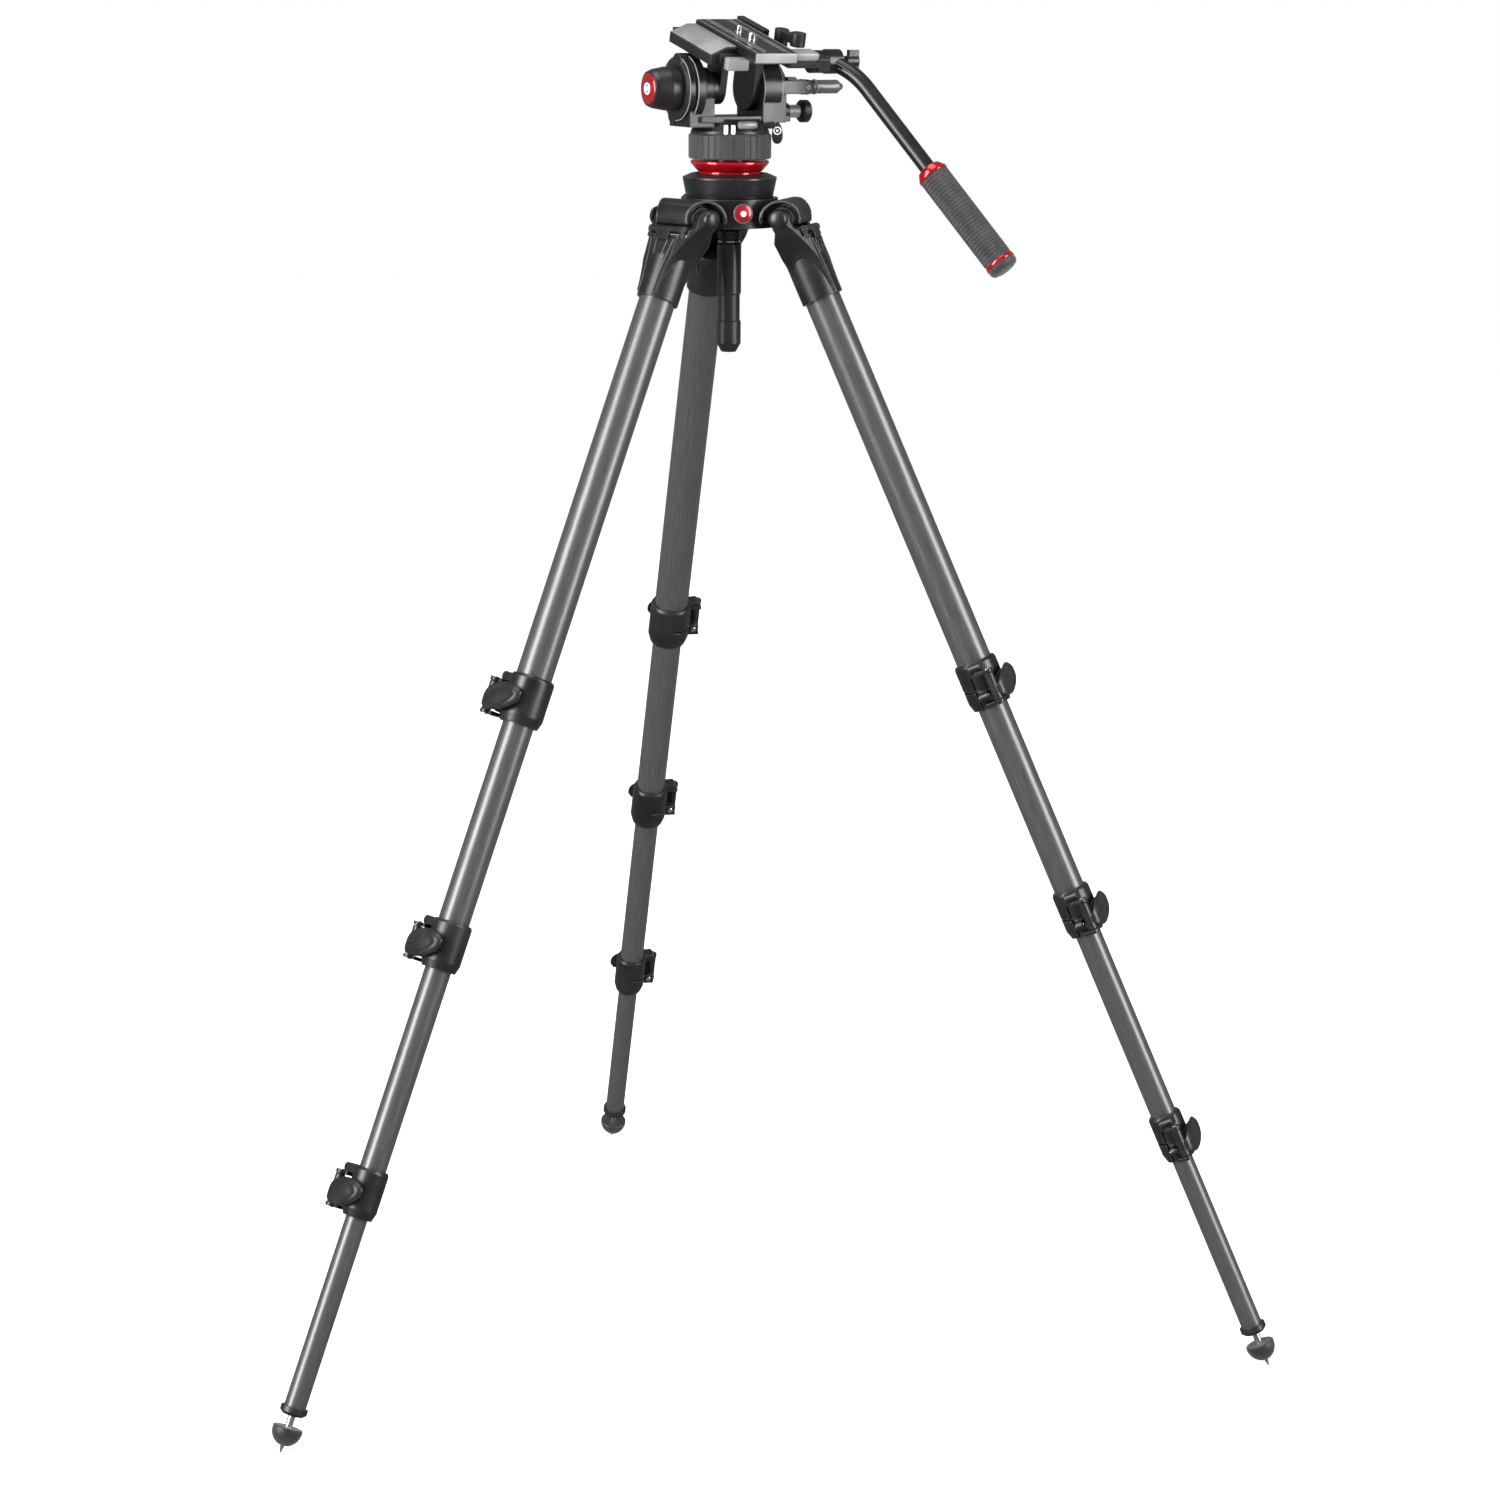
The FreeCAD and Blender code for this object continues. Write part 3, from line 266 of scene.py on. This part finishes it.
MATERIALS = {
    "black_casting": satin_metal("casting", grey(0.004), grey(0.008), 0.33, grey(0.05),
                                 soft_edge=0.0020),
    "machined_black": satin_metal("machined", grey(0.007), grey(0.012), 0.28, grey(0.16), 0.2,
                                  0.00001),
    "black_plastic": moulded("plastic", grey(0.006), grey(0.010), 0.36),
    "red_anodised": anodised("red", (0.44, 0.004, 0.010, 1), (0.28, 0.002, 0.006, 1), 0.16),
    "ribbed_rubber": rubber("drum_rubber", grey(0.009), grey(0.018), 0.6),
    "foot_rubber": rubber("sole_rubber", grey(0.005), grey(0.009), 0.5),
    "steel": bright_steel("bright"),
}
SLOT_OF = {part["node"]: part["material_slot"] for part in frame["record"]["subparts"]}


def paint(obj, material):
    """Give an object one material all over."""
    obj.data.materials.clear()
    obj.data.materials.append(material)


def new_object(name, data):
    """An object that holds the data, put in the scene."""
    obj = bpy.data.objects.new(name, data)
    bpy.context.scene.collection.objects.link(obj)
    return obj


for name, node in frame["nodes"].items():
    if SLOT_OF[name] in MATERIALS:
        paint(node, MATERIALS[SLOT_OF[name]])
for k, leg in enumerate(LEGS):
    fibre = carbon(f"carbon_leg_{k + 1}", leg.inverted())
    for i in (1, 2, 3, 4):
        paint(frame["nodes"][f"leg{k + 1}_tube_{i}"], fibre)


# ---------------------------------------------------------------- shapes, in millimetres
class Shape:
    """A closed mesh built from simple solids in one frame, whose edges can be rounded."""

    def __init__(self):
        self.bm = bmesh.new()

    def skin(self, rings, closed_rings=True, loop=False):
        """Faces between successive rings of points; the ends are capped unless it is a loop."""
        rows = [[self.bm.verts.new(point) for point in ring] for ring in rings]
        pairs = list(zip(rows, rows[1:] + rows[:1])) if loop else list(zip(rows, rows[1:]))
        size = len(rows[0])
        for a, b in pairs:
            for i in range(size if closed_rings else size - 1):
                j = (i + 1) % size
                self.bm.faces.new((a[i], a[j], b[j], b[i]))
        if not loop:
            self.bm.faces.new(reversed(rows[0]))
            self.bm.faces.new(rows[-1])
        return self

    def turned(self, profile, at=Matrix(), segments=64, flutes=0, depth=0.0):
        """A solid of revolution about Z: profile is radius and height from one end to the other."""
        rings = []
        for radius, height in profile:
            ring = []
            for k in range(segments):
                angle = 2 * math.pi * k / segments
                cut = depth * (0.5 + 0.5 * math.cos(flutes * angle)) if flutes else 0.0
                r = max(radius - cut, 0.01)
                ring.append(at @ Vector((r * math.cos(angle), r * math.sin(angle), height)))
            rings.append(ring)
        return self.skin(rings)

    def hoop(self, section, at=Matrix(), segments=72):
        """A closed ring about Z whose section is a loop of radius and height."""
        rings = []
        for k in range(segments):
            a = 2 * math.pi * k / segments
            rings.append([at @ Vector((r * math.cos(a), r * math.sin(a), h)) for r, h in section])
        return self.skin(rings, loop=True)

    def box(self, low, high, at=Matrix()):
        """A block between two opposite corners."""
        x0, y0, z0 = low
        x1, y1, z1 = high
        rings = [[at @ Vector((x, y, z)) for x, y in ((x0, y0), (x1, y0), (x1, y1), (x0, y1))]
                 for z in (z0, z1)]
        return self.skin(rings)

    def prism(self, plan, low, high, at=Matrix()):
        """A flat outline raised from one height to another."""
        return self.skin([[at @ Vector((x, y, z)) for x, y in plan] for z in (low, high)])

    def wire(self, points, radius, sides=10):
        """A round bead along a list of points."""
        rings = []
        for i, point in enumerate(points):
            ahead = (points[min(i + 1, len(points) - 1)] - points[max(i - 1, 0)]).normalized()
            side = ahead.orthogonal() if i == 0 else side - ahead * side.dot(ahead)
            side.normalize()
            across = ahead.cross(side)
            rings.append([point + (side * math.cos(t) + across * math.sin(t)) * radius
                          for t in (2 * math.pi * k / sides for k in range(sides))])
        return self.skin(rings)

    def rounded(self, width, limit=30, segments=3):
        """Round every edge sharper than the limit."""
        bmesh.ops.recalc_face_normals(self.bm, faces=self.bm.faces)
        sharp = [e for e in self.bm.edges if e.calc_face_angle(0) > math.radians(limit)]
        bmesh.ops.bevel(self.bm, geom=sharp, offset=width, segments=segments, profile=0.5,
                        affect="EDGES", clamp_overlap=True)
        return self

    def piece(self, name, body, slot, material, place=Matrix()):
        """The finished object in the object's own frame, in metres, riding on its body."""
        bmesh.ops.recalc_face_normals(self.bm, faces=self.bm.faces)
        mesh = bpy.data.meshes.new(name)
        self.bm.to_mesh(mesh)
        self.bm.free()
        mesh.transform(place @ Matrix.Scale(MM, 4))
        mesh.shade_smooth()
        mesh.set_sharp_from_angle(angle=math.radians(38))
        made = new_object(name, mesh)
        paint(made, material)
        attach(made, body)
        return made


def along(x=0.0, y=0.0, z=0.0, axis="z", turn=1):
    """A local frame at a point whose Z runs along an axis of the surrounding one."""
    spin = {"z": Matrix(), "x": Matrix.Rotation(math.pi / 2 * turn, 4, "Y"),
            "y": Matrix.Rotation(-math.pi / 2 * turn, 4, "X")}[axis]
    return Matrix.Translation((x, y, z)) @ spin


def circle_section(radius, wire, sides=10):
    """The section of a thin round ring."""
    turns = [2 * math.pi * k / sides for k in range(sides)]
    return [(radius + wire * math.cos(t), wire * math.sin(t)) for t in turns]


# ---------------------------------------------------------------- trim, crown and handle
TRIM = satin_metal("trim", grey(0.13), grey(0.20), 0.34, grey(0.5), 0.25, 0.00001)
# A lighter copy of the trim, painted as if lit, for the plate's end face.
TRIM_PAINTED_LIT = satin_metal("trim_painted_lit", grey(0.17), grey(0.23), 0.36, grey(0.5), 0.1, 0.00001)
# Painted highlights: light beads, hoops and lines that stand for reflections on rims and edges; the
# dim one for the subtler light lines on the hood arches, fork panels and badge rim.
PAINTED_HIGHLIGHT = satin_metal("edge", grey(0.18), grey(0.26), 0.24, grey(0.3), 0.3, 0.00001)
PAINTED_HIGHLIGHT_DIM = satin_metal("painted_highlight_dim", grey(0.045), grey(0.075), 0.28, grey(0.2), 0.2, 0.00001)
LEVER = satin_metal("lever_metal", grey(0.07), grey(0.11), 0.3, grey(0.3), 0.4, 0.00001)
CAP_RED = anodised("cap_red", (0.36, 0.004, 0.010, 1), (0.24, 0.003, 0.008, 1), 0.26)
MARK = moulded("mark", grey(0.66), grey(0.76), 0.35)
CASTING, PLASTIC = MATERIALS["black_casting"], MATERIALS["black_plastic"]
RED, STEEL = MATERIALS["red_anodised"], MATERIALS["steel"]
RIBBED = MATERIALS["ribbed_rubber"]
FACET, BADGE_HEIGHT = 61.5, 1242
RIM_RADIUS, RIM_STEPS = 18.4, 24


def side_letter(side):
    return "a" if side > 0 else "b"


def hood_rim(leg, azimuth, side):
    """Bead along the arch that a hood's bore cuts in the facet beside it."""
    out = Matrix.Rotation(math.radians(azimuth), 4, "Z")
    hinge = HINGE_RADIUS / MM
    points = []
    for step in range(RIM_STEPS + 1):
        angle = math.radians(-12 + 186 * step / RIM_STEPS)
        reach, rise = RIM_RADIUS * math.cos(angle), RIM_RADIUS * math.sin(angle)
        far = (FACET + 0.1 - 0.5 * (hinge + reach)) / math.sin(math.radians(60))
        points.append(out @ Vector((hinge + reach, side * far, HINGE_HEIGHT / MM + rise)))
    # The bead is painted lighter than the casting: a painted highlight along the arch's edge.
    bead = Shape().wire(points, 1.1)
    bead.piece(f"leg{leg}_hood_rim_{side_letter(side)}", "base", "black_casting", PAINTED_HIGHLIGHT_DIM)


for k, azimuth in enumerate(LEG_AZIMUTHS):
    for side in (1, -1):
        hood_rim(k + 1, azimuth, side)

FRONT = Matrix.Rotation(math.radians(LEG_AZIMUTHS[0] + 60), 4, "Z")
FRONT_FACET = FRONT @ along(FACET, 0, BADGE_HEIGHT, "x")
badge = Shape().turned([(9.2, -0.6), (9.2, 0.8), (7.6, 1.6), (4.2, 2.1), (0.02, 2.3)], FRONT_FACET)
badge.piece("badge", "base", "red_anodised", CAP_RED)
# The badge's rim ring is painted a dim light grey: a painted highlight.
badge_rim = Shape().hoop(circle_section(9.8, 0.9), FRONT_FACET)
badge_rim.piece("badge_rim", "base", "steel", PAINTED_HIGHLIGHT_DIM)
badge_centre = Shape().turned([(3.1, 1.6), (3.1, 2.6), (2.6, 2.9), (0.02, 3.0)], FRONT_FACET)
badge_centre.piece("badge_centre", "base", "steel", MARK)

BALL = Matrix.Translation((0, 0, BALL_HEIGHT))
washer = Shape().hoop([(9.6, -69.7), (12.4, -69.7), (12.4, -67.5), (9.6, -67.5)])
washer.rounded(0.4).piece("handle_washer", "tie_down", "steel", STEEL, BALL)


# ---------------------------------------------------------------- legs
TUBE_RADII = (19.4, 16.8, 14.2, 11.7)
CLAMP_DROPS = (541.5, 810.6, 1079.4)
CLAMP_WALL = 4.2
LEVER_HALF, LEVER_DROP = 15.5, 4.0
PIN_INSET, PIN_REACH = 4.6, 11.4
PADDLE_SLOPE, DISH_DEPTH, PADDLE_TIP = 0.16, 3.0, 21.0
PADDLE_LEVELS, BEAD_STEPS = 24, 16
PINCH_DROP = 12.5
ARM_REACH = 40.9


def arm_dome(name, leg, side):
    """Ball-shaped end of a fork arm over the hinge pin."""
    profile = [(10.6, -1.0), (10.6, 1.2), (10.0, 3.0), (8.4, 4.8), (6.0, 6.0), (3.2, 6.6),
               (0.02, 6.8)]
    dome = Shape().turned(profile, along(0, ARM_REACH * side, 0, "y", side))
    dome.piece(f"{name}_arm_dome_{side_letter(side)}", f"{name}_upper", "black_casting", CASTING,
               leg)


def panel_bead(name, leg, index, top, foot):
    """Raised bead down the fork's outer panel; it closes in towards the tube."""
    points = []
    for step in range(BEAD_STEPS + 1):
        u = step / BEAD_STEPS
        points.append(Vector((20.2, foot + (top - foot) * (1 - u) ** 2, -31 - 62 * u)))
    # The bead is painted lighter than the casting: a painted highlight along the panel's line.
    bead = Shape().wire(points, 0.9)
    bead.piece(f"{name}_panel_bead_{index}", f"{name}_upper", "black_casting", PAINTED_HIGHLIGHT_DIM, leg)


def smooth_run(points, count):
    """Points along a curve that passes smoothly through the given ones."""
    run = []
    last = len(points) - 1
    for i in range(last):
        a, b, c, d = (points[max(i - 1, 0)], points[i], points[i + 1], points[min(i + 2, last)])
        for k in range(count):
            t = k / count
            run.append(0.5 * (2 * b + (c - a) * t + (2 * a - 5 * b + 4 * c - d) * t ** 2
                              + (3 * b - a - 3 * c + d) * t ** 3))
    return run + [points[last]]


def paddle_ring(outer, rise):
    """One level of the oval paddle, from -1 at its lower edge to 1 at its upper one. The oval
    slopes up towards its tip, and its outer face is dished inside a raised rim."""
    pin_y = -outer - PIN_REACH
    near = outer + 2.8
    body = math.sqrt(1 - 0.8 * rise ** 2)
    start, tip = pin_y - 4.0, PADDLE_TIP
    middle, half = (start + tip) / 2, (tip - start) / 2
    front = [Vector((near - 5, start)), Vector((near + 1.5 * body, start + 3.0)),
             Vector((near + 6.5 * body, -outer - 3)), Vector((near + 9 * body, -outer + 8)),
             Vector((near + 9.5 * body, 0)), Vector((near + 8.8 * body, 10)),
             Vector((near + 7.0 * body, 16)), Vector((near + 4.6 * body, 19.5)),
             Vector((near + 2.0 * body, tip))]
    run = smooth_run(front, 9)
    for i, point in enumerate(run):
        inside = 1 - ((point.y - middle) / (0.84 * half)) ** 2 - (rise / 0.8) ** 2
        run[i] = Vector((point.x - DISH_DEPTH * min(1.0, max(0.0, inside) * 1.8), point.y))
    back = [Vector((near + 0.2, 17)), Vector((near, -outer + 2)), Vector((near - 5.5, pin_y + 4))]
    ring = []
    for point in run + back:
        tall = LEVER_HALF * math.sqrt(max(0.05, 1 - ((point.y - middle) / (1.01 * half)) ** 2))
        ring.append(Vector((point.x, point.y, PADDLE_SLOPE * (point.y - middle) + tall * rise)))
    return ring


def flip_lever(name, leg, index):
    """The lever's barrel on its pin and the paddle that wraps the collar."""
    outer = TUBE_RADII[index - 1] + CLAMP_WALL
    at = Matrix.Translation((0, 0, -CLAMP_DROPS[index - 1] - LEVER_DROP))
    rings = []
    for step in range(PADDLE_LEVELS + 1):
        rise = math.sin(math.pi * (step / PADDLE_LEVELS - 0.5))
        rings.append([at @ point for point in paddle_ring(outer, rise)])
    shape = Shape().skin(rings)
    barrel = [(0.02, -15.4), (4.6, -15.4), (5.3, -14.6), (5.3, 14.6), (4.6, 15.4), (0.02, 15.4)]
    pin = Matrix.Translation((outer - PIN_INSET, -outer - PIN_REACH, 0))
    shape.turned(barrel, at @ pin, 32)
    made = shape.piece(f"{name}_paddle_{index}", f"{name}_clamp_lever_{index}",
                       "black_plastic", PLASTIC, leg)
    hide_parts(f"{name}_lever_{index}")


def clamp_bolt(name, leg, index):
    """Bright ends of the pinch bolt and of the lever's pin."""
    outer = TUBE_RADII[index - 1] + CLAMP_WALL
    middle = -CLAMP_DROPS[index - 1]
    holder = f"{name}_upper" if index == 1 else f"{name}_middle_{index - 1}"
    shape = Shape()
    for x, turn in ((outer - 14.1, 1), (-1.0, -1)):
        shape.turned([(3.4, -0.5), (3.4, 0.9), (2.7, 1.5), (0.02, 1.6)],
                     along(x, -outer - 6, middle - PINCH_DROP, "x", turn), 24)
    for drop, turn in ((-23.8, -1), (15.8, 1)):
        at = along(outer - PIN_INSET, -outer - PIN_REACH, middle + drop)
        profile = [(2.6, -0.4), (2.6, 0.5), (2.0, 0.9), (0.02, 1.0)]
        shape.turned([(radius, height * turn) for radius, height in profile], at, 24)
    shape.piece(f"{name}_clamp_bolt_{index}", holder, "steel", STEEL, leg)


def foot_flange(name, leg):
    """Black skin of the flange that closes the last tube."""
    section = [(11.75, -1308.6), (14.5, -1308.6), (14.5, -1314.2), (10.95, -1317.4), (4.6, -1318.5),
               (4.6, -1318.0), (10.7, -1317.0), (14.1, -1314.0), (14.1, -1309.0), (11.75, -1309.0)]
    Shape().hoop(section).piece(f"{name}_flange", f"{name}_lower", "black_plastic", PLASTIC, leg)


def catch_ends(name, leg):
    """Rounded ends of the angle catch's pin."""
    shape = Shape()
    for side in (1, -1):
        shape.turned([(2.3, -0.6), (2.3, 0.5), (1.7, 0.9), (0.02, 1.0)],
                     along(17, 26 * side, -20, "y", side), 24)
    shape.piece(f"{name}_catch_pin", f"{name}_upper", "black_casting", CASTING, leg)


PANEL_BEADS = ((17.5, 10.5), (8.5, 4.0), (-8.5, -4.0), (-17.5, -10.5))
for k, leg in enumerate(LEGS):
    name = f"leg{k + 1}"
    for side in (1, -1):
        arm_dome(name, leg, side)
    for index, (top, foot) in enumerate(PANEL_BEADS, start=1):
        panel_bead(name, leg, index, top, foot)
    for index in (1, 2, 3):
        flip_lever(name, leg, index)
        clamp_bolt(name, leg, index)
    foot_flange(name, leg)
    catch_ends(name, leg)


# ---------------------------------------------------------------- yoke and its knobs
DRAG_KNOB, PAN_LOCK = along(-66.4, 0, 0, "x", -1), along(63, -10, -25, "x")
TILT_LOCK, LEVER_TIP = along(58, -20.2, 5, "x"), along(91, -20.2, 1, "x")
cap_profile = [(16.4, 28.6), (16.4, 30.8), (15.4, 31.7), (8.0, 32.1), (0.02, 32.2)]
cap = Shape().turned(cap_profile, DRAG_KNOB)
cap.piece("drag_knob_cap", "tilt_drag", "red_anodised", CAP_RED, PAN)
hub_ring = Shape().hoop(circle_section(5.4, 1.0), DRAG_KNOB @ Matrix.Translation((0, 0, 32.2)))
hub_ring.turned([(2.6, 31.6), (2.6, 32.9), (2.1, 33.2), (0.02, 33.3)], DRAG_KNOB, 32)
hub_ring.piece("drag_knob_centre", "tilt_drag", "steel", MARK, PAN)

# Light hoops just round the edges of the yoke's fins: painted reflections of those edges.
YOKE_HIGHLIGHT_HOOPS = ((-64.2, 33.4, 0.55), (-55.2, 35.4, 0.6), (-45.8, 33.0, 0.6),
             (24.6, 33.4, 0.5), (46.2, 33.3, 0.6), (52.1, 26.8, 0.6))
for index, (x, radius, wire) in enumerate(YOKE_HIGHLIGHT_HOOPS, start=1):
    rim = Shape().hoop(circle_section(radius, wire), along(x, 0, 0, "x"))
    rim.piece(f"yoke_highlight_hoop_{index}", "pan_head", "black_casting", PAINTED_HIGHLIGHT, PAN)

stem_profile = [(6.9, 0.5), (6.9, 13.6), (6.2, 14.4), (0.02, 14.4)]
stem = Shape().turned(stem_profile, PAN_LOCK)
stem.piece("pan_lock_stem", "pan_lock", "machined_black", TRIM, PAN)
collar_profile = [(6.8, -1.0), (6.8, 8.6), (5.8, 10.2), (0.02, 10.2)]
collar = Shape().turned(collar_profile, TILT_LOCK)
collar.piece("tilt_lock_collar", "pan_head", "steel", STEEL, PAN)
paint(frame["nodes"]["tilt_lock_lever"], LEVER)
# A light hoop round the lever's tip: a painted highlight.
tip_ring = Shape().hoop(circle_section(7.6, 0.7), LEVER_TIP)
tip_ring.piece("tilt_lock_ring", "tilt_lock", "machined_black", PAINTED_HIGHLIGHT, PAN)

# Marks and level on the yoke's skirt, in a frame that looks the same way as the object's.
marks = Shape()
for low in (-6.2, 1.6):
    marks.box((low, -43.2, -47.2), (low + 4.4, -36, -37.4))
marks.rounded(0.9).piece("skirt_marks", "pan_head", "black_casting", MARK, SKIRT)
vial_at = Matrix.Rotation(math.radians(-62), 4, "Z") @ along(40, -10.5, -37.5, "y")
vial_profile = [(0.02, -0.6), (3.2, 0.2), (4.0, 2.0), (4.0, 19.0), (3.2, 20.8), (0.02, 21.6)]
vial = Shape().turned(vial_profile, vial_at)
vial.piece("level_vial", "pan_head", "steel", TRIM, SKIRT)
tab = Shape()
drop_shape = [Vector((5.9 * math.cos(t), 11.5 * math.sin(t) - 2.2 * math.cos(t) ** 2))
              for t in (2 * math.pi * k / 40 for k in range(40))]
TAB = Matrix.Translation((50.5, -13, -46.5)) @ Matrix.Rotation(math.radians(90), 4, "X")
tab.prism(drop_shape, -2.4, 2.4, TAB).rounded(1.1)
tab.box((34, -16, -42), (48, -10, -36))
tab.piece("skirt_tab", "pan_head", "black_plastic", PLASTIC, SKIRT)
dot = Shape().hoop(circle_section(3.7, 0.6), TAB @ Matrix.Translation((0, 2.5, 2.4)))
dot.turned([(1.3, 2.0), (1.3, 2.8), (0.02, 2.9)], TAB @ Matrix.Translation((0, 2.5, 0)), 24)
dot.piece("skirt_tab_dial", "pan_head", "steel", MARK, SKIRT)


# ---------------------------------------------------------------- carriage and plate
# A light grey sheet on the ledge: a painted reflection of the light from above.
ledge = [(-26.6, 57.6), (-38.0, 57.6), (-55.3, 49.7), (-55.8, 50.8), (-38.2, 59.0), (-26.6, 59.0)]
UPRIGHT = Matrix.Rotation(math.radians(90), 4, "X")
ledge_reflection_sheet = Shape().prism(ledge, -42.0, 52.5, UPRIGHT).rounded(0.5)
ledge_reflection_sheet.piece("ledge_reflection_sheet", "carriage", "machined_black", TRIM, CARRIAGE)
near_cover = Shape().box((25.9, -80.9, 50.2), (57.6, -60.2, 58.3)).rounded(1.6)
near_cover.piece("bracket_cover", "carriage", "machined_black", TRIM, CARRIAGE)
release = Shape().box((-45.4, -72.9, 37.6), (-19.6, -63.5, 50.8)).rounded(1.8)
release.piece("plate_release", "carriage", "machined_black", TRIM, CARRIAGE)
# The plate's end face gets the painted-lit trim: painted light.
end_cap = Shape().box((-24.2, -94.0, 51.4), (24.2, -92.0, 61.6)).rounded(0.6)
end_cap.piece("plate_end", "plate", "machined_black", TRIM_PAINTED_LIT, CARRIAGE)
# Light lines along the plate: painted highlights.
lines = Shape()
for x in (-23.4, -14.6, 14.6, 23.0):
    lines.box((x, -92.6, 61.9), (x + 0.7, 46.6, 62.45))
lines.piece("plate_lines", "plate", "machined_black", PAINTED_HIGHLIGHT, CARRIAGE)
PADS, PAD_PITCH = 22, 6.1
pads = Shape()
for low in (-12.8, 9.2):
    for step in range(PADS):
        y = -88.0 + PAD_PITCH * step
        pads.box((low, y, 61.9), (low + 3.8, y + 4.6, 62.6))
pads.rounded(0.25, segments=2)
pads.piece("plate_pads", "plate", "machined_black", RIBBED, CARRIAGE)


# ---------------------------------------------------------------- pan bar's grip
GRIP_LENGTH, RIBS, RIB_PITCH = 125.0, 28, 4.0
bar_bend, bar_end = Vector((110.7, -75.9, 16.0)), Vector((206.5, -225.5, -179.0))
run = (bar_end - bar_bend).normalized()
GRIP = run.to_track_quat("Z", "Y").to_matrix().to_4x4()
GRIP.translation = bar_end - run * GRIP_LENGTH
profile = [(13.4, 0.2), (15.6, 1.0)]
for step in range(RIBS):
    z = 3.0 + RIB_PITCH * step
    profile += [(16.4, z), (16.4, z + 2.6), (15.7, z + 3.3)]
profile += [(16.2, 116.6), (15.4, 117.8)]
sleeve = Shape().turned(profile, GRIP, 160, 40, 0.7)
grip = sleeve.piece("grip_sleeve", "bar", "ribbed_rubber", RIBBED, PAN)
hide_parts("pan_bar_grip")
front_profile = [(8.7, -9.0), (12.6, -8.0), (14.8, -4.6), (15.4, -2.0), (15.4, 0.4), (13.4, 0.6)]
front = Shape().turned(front_profile, GRIP)
front.piece("grip_front", "bar", "red_anodised", RED, PAN)
bands = Shape()
for low, high in ((-2.2, 2.4), (117.4, 122.2)):
    bands.hoop([(15.0, low), (16.6, low + 0.5), (16.9, low + 1.2), (16.9, high - 1.2),
                (16.6, high - 0.5), (15.0, high)], GRIP)
bands.piece("grip_bands", "bar", "red_anodised", RED, PAN)
end = Shape().turned([(14.0, 120.0), (16.4, 122.0), (16.4, 125.4), (14.8, 128.0), (10.8, 129.5),
                      (5.0, 130.2), (0.02, 130.3)], GRIP)
end.piece("grip_end", "bar", "ribbed_rubber", RIBBED, PAN)


# ---------------------------------------------------------------- floor, light and camera
AMBIENT, REFLECTED = 0.5, 0.2
FLOOR_RADIUS, FLOOR_DROP = 14.0, 0.0005


def stage_floor():
    """A plain pale floor just under the feet, kept out of the glossy reflections."""
    mesh = bpy.data.meshes.new("floor")
    bm = bmesh.new()
    bmesh.ops.create_circle(bm, cap_ends=True, segments=96, radius=FLOOR_RADIUS)
    bm.to_mesh(mesh)
    bm.free()
    floor = new_object("floor", mesh)
    floor.location.z = -FLOOR_DROP
    n = Nodes("floor")
    n.set(Base_Color=n.mix(n.ramp(n.noise(3, 3), 0.0, 1.0), grey(0.86), grey(0.88)), Roughness=0.6)
    paint(floor, n.material)
    floor.visible_glossy = False


def area_light(name, place, aim, width, height, power):
    """A softbox of a width and height that looks at a point."""
    light = bpy.data.lights.new(name, "AREA")
    light.shape, light.size, light.size_y, light.energy = "RECTANGLE", width, height, power
    obj = new_object(name, light)
    obj.location = place
    obj.rotation_euler = (Vector(aim) - Vector(place)).to_track_quat("-Z", "Y").to_euler()
    obj.visible_camera = False
    return obj


def studio_world():
    """Soft light all round, weaker in reflections, and a clean white ground behind the object."""
    world = bpy.data.worlds.new("studio")
    bpy.context.scene.world = world
    world.use_nodes = True
    tree = world.node_tree
    path = tree.nodes.new("ShaderNodeLightPath")
    shader = tree.nodes["Background"]
    shader.inputs["Color"].default_value = grey(1.0)
    shader.inputs["Strength"].default_value = AMBIENT
    for ray, strength in (("Is Glossy Ray", REFLECTED), ("Is Camera Ray", 1.0)):
        other = tree.nodes.new("ShaderNodeBackground")
        other.inputs["Color"].default_value = grey(1.0)
        other.inputs["Strength"].default_value = strength
        mix = tree.nodes.new("ShaderNodeMixShader")
        tree.links.new(path.outputs[ray], mix.inputs[0])
        tree.links.new(shader.outputs[0], mix.inputs[1])
        tree.links.new(other.outputs[0], mix.inputs[2])
        shader = mix
    tree.links.new(shader.outputs[0], tree.nodes["World Output"].inputs["Surface"])


stage_floor()
studio_world()
area_light("left", (-3.0, -2.2, 2.0), (0, 0, 0.9), 1.7, 3.2, 270)
area_light("right", (3.1, -1.6, 1.9), (0, 0, 0.9), 1.3, 3.0, 160)
area_light("top", (-0.4, -0.4, 3.6), (0, 0, 1.0), 1.8, 1.8, 36)
area_light("back", (0.3, 4.6, 3.0), (0, 1.5, 0), 6.0, 3.4, 90).visible_glossy = False
sun = bpy.data.lights.new("sky", "SUN")
sun.energy, sun.angle = 2.6, math.radians(120)
sky = new_object("sky", sun)
sky.rotation_euler = (math.radians(12), math.radians(-14), 0)
sky.visible_glossy = False
bpy.context.scene.view_settings.view_transform = "Standard"

camera = new_object("camera", bpy.data.cameras.new("camera"))
pitch, roll = math.radians(12.26), math.radians(0.45)
stand_point = (0.0266, -3.9353, 1.5043)
ahead = Vector((0, math.cos(pitch), -math.sin(pitch)))
right = Vector((1, 0, 0))
over = right.cross(ahead)
turned_right = right * math.cos(roll) + over * math.sin(roll)
turned_up = over * math.cos(roll) - right * math.sin(roll)
look = Matrix((turned_right, turned_up, -ahead)).transposed().to_4x4()
look.translation = stand_point
camera.matrix_world = look
camera.data.sensor_width = 36.0
camera.data.lens = 87.252
camera.data.clip_start, camera.data.clip_end = 0.1, 60
bpy.context.scene.camera = camera
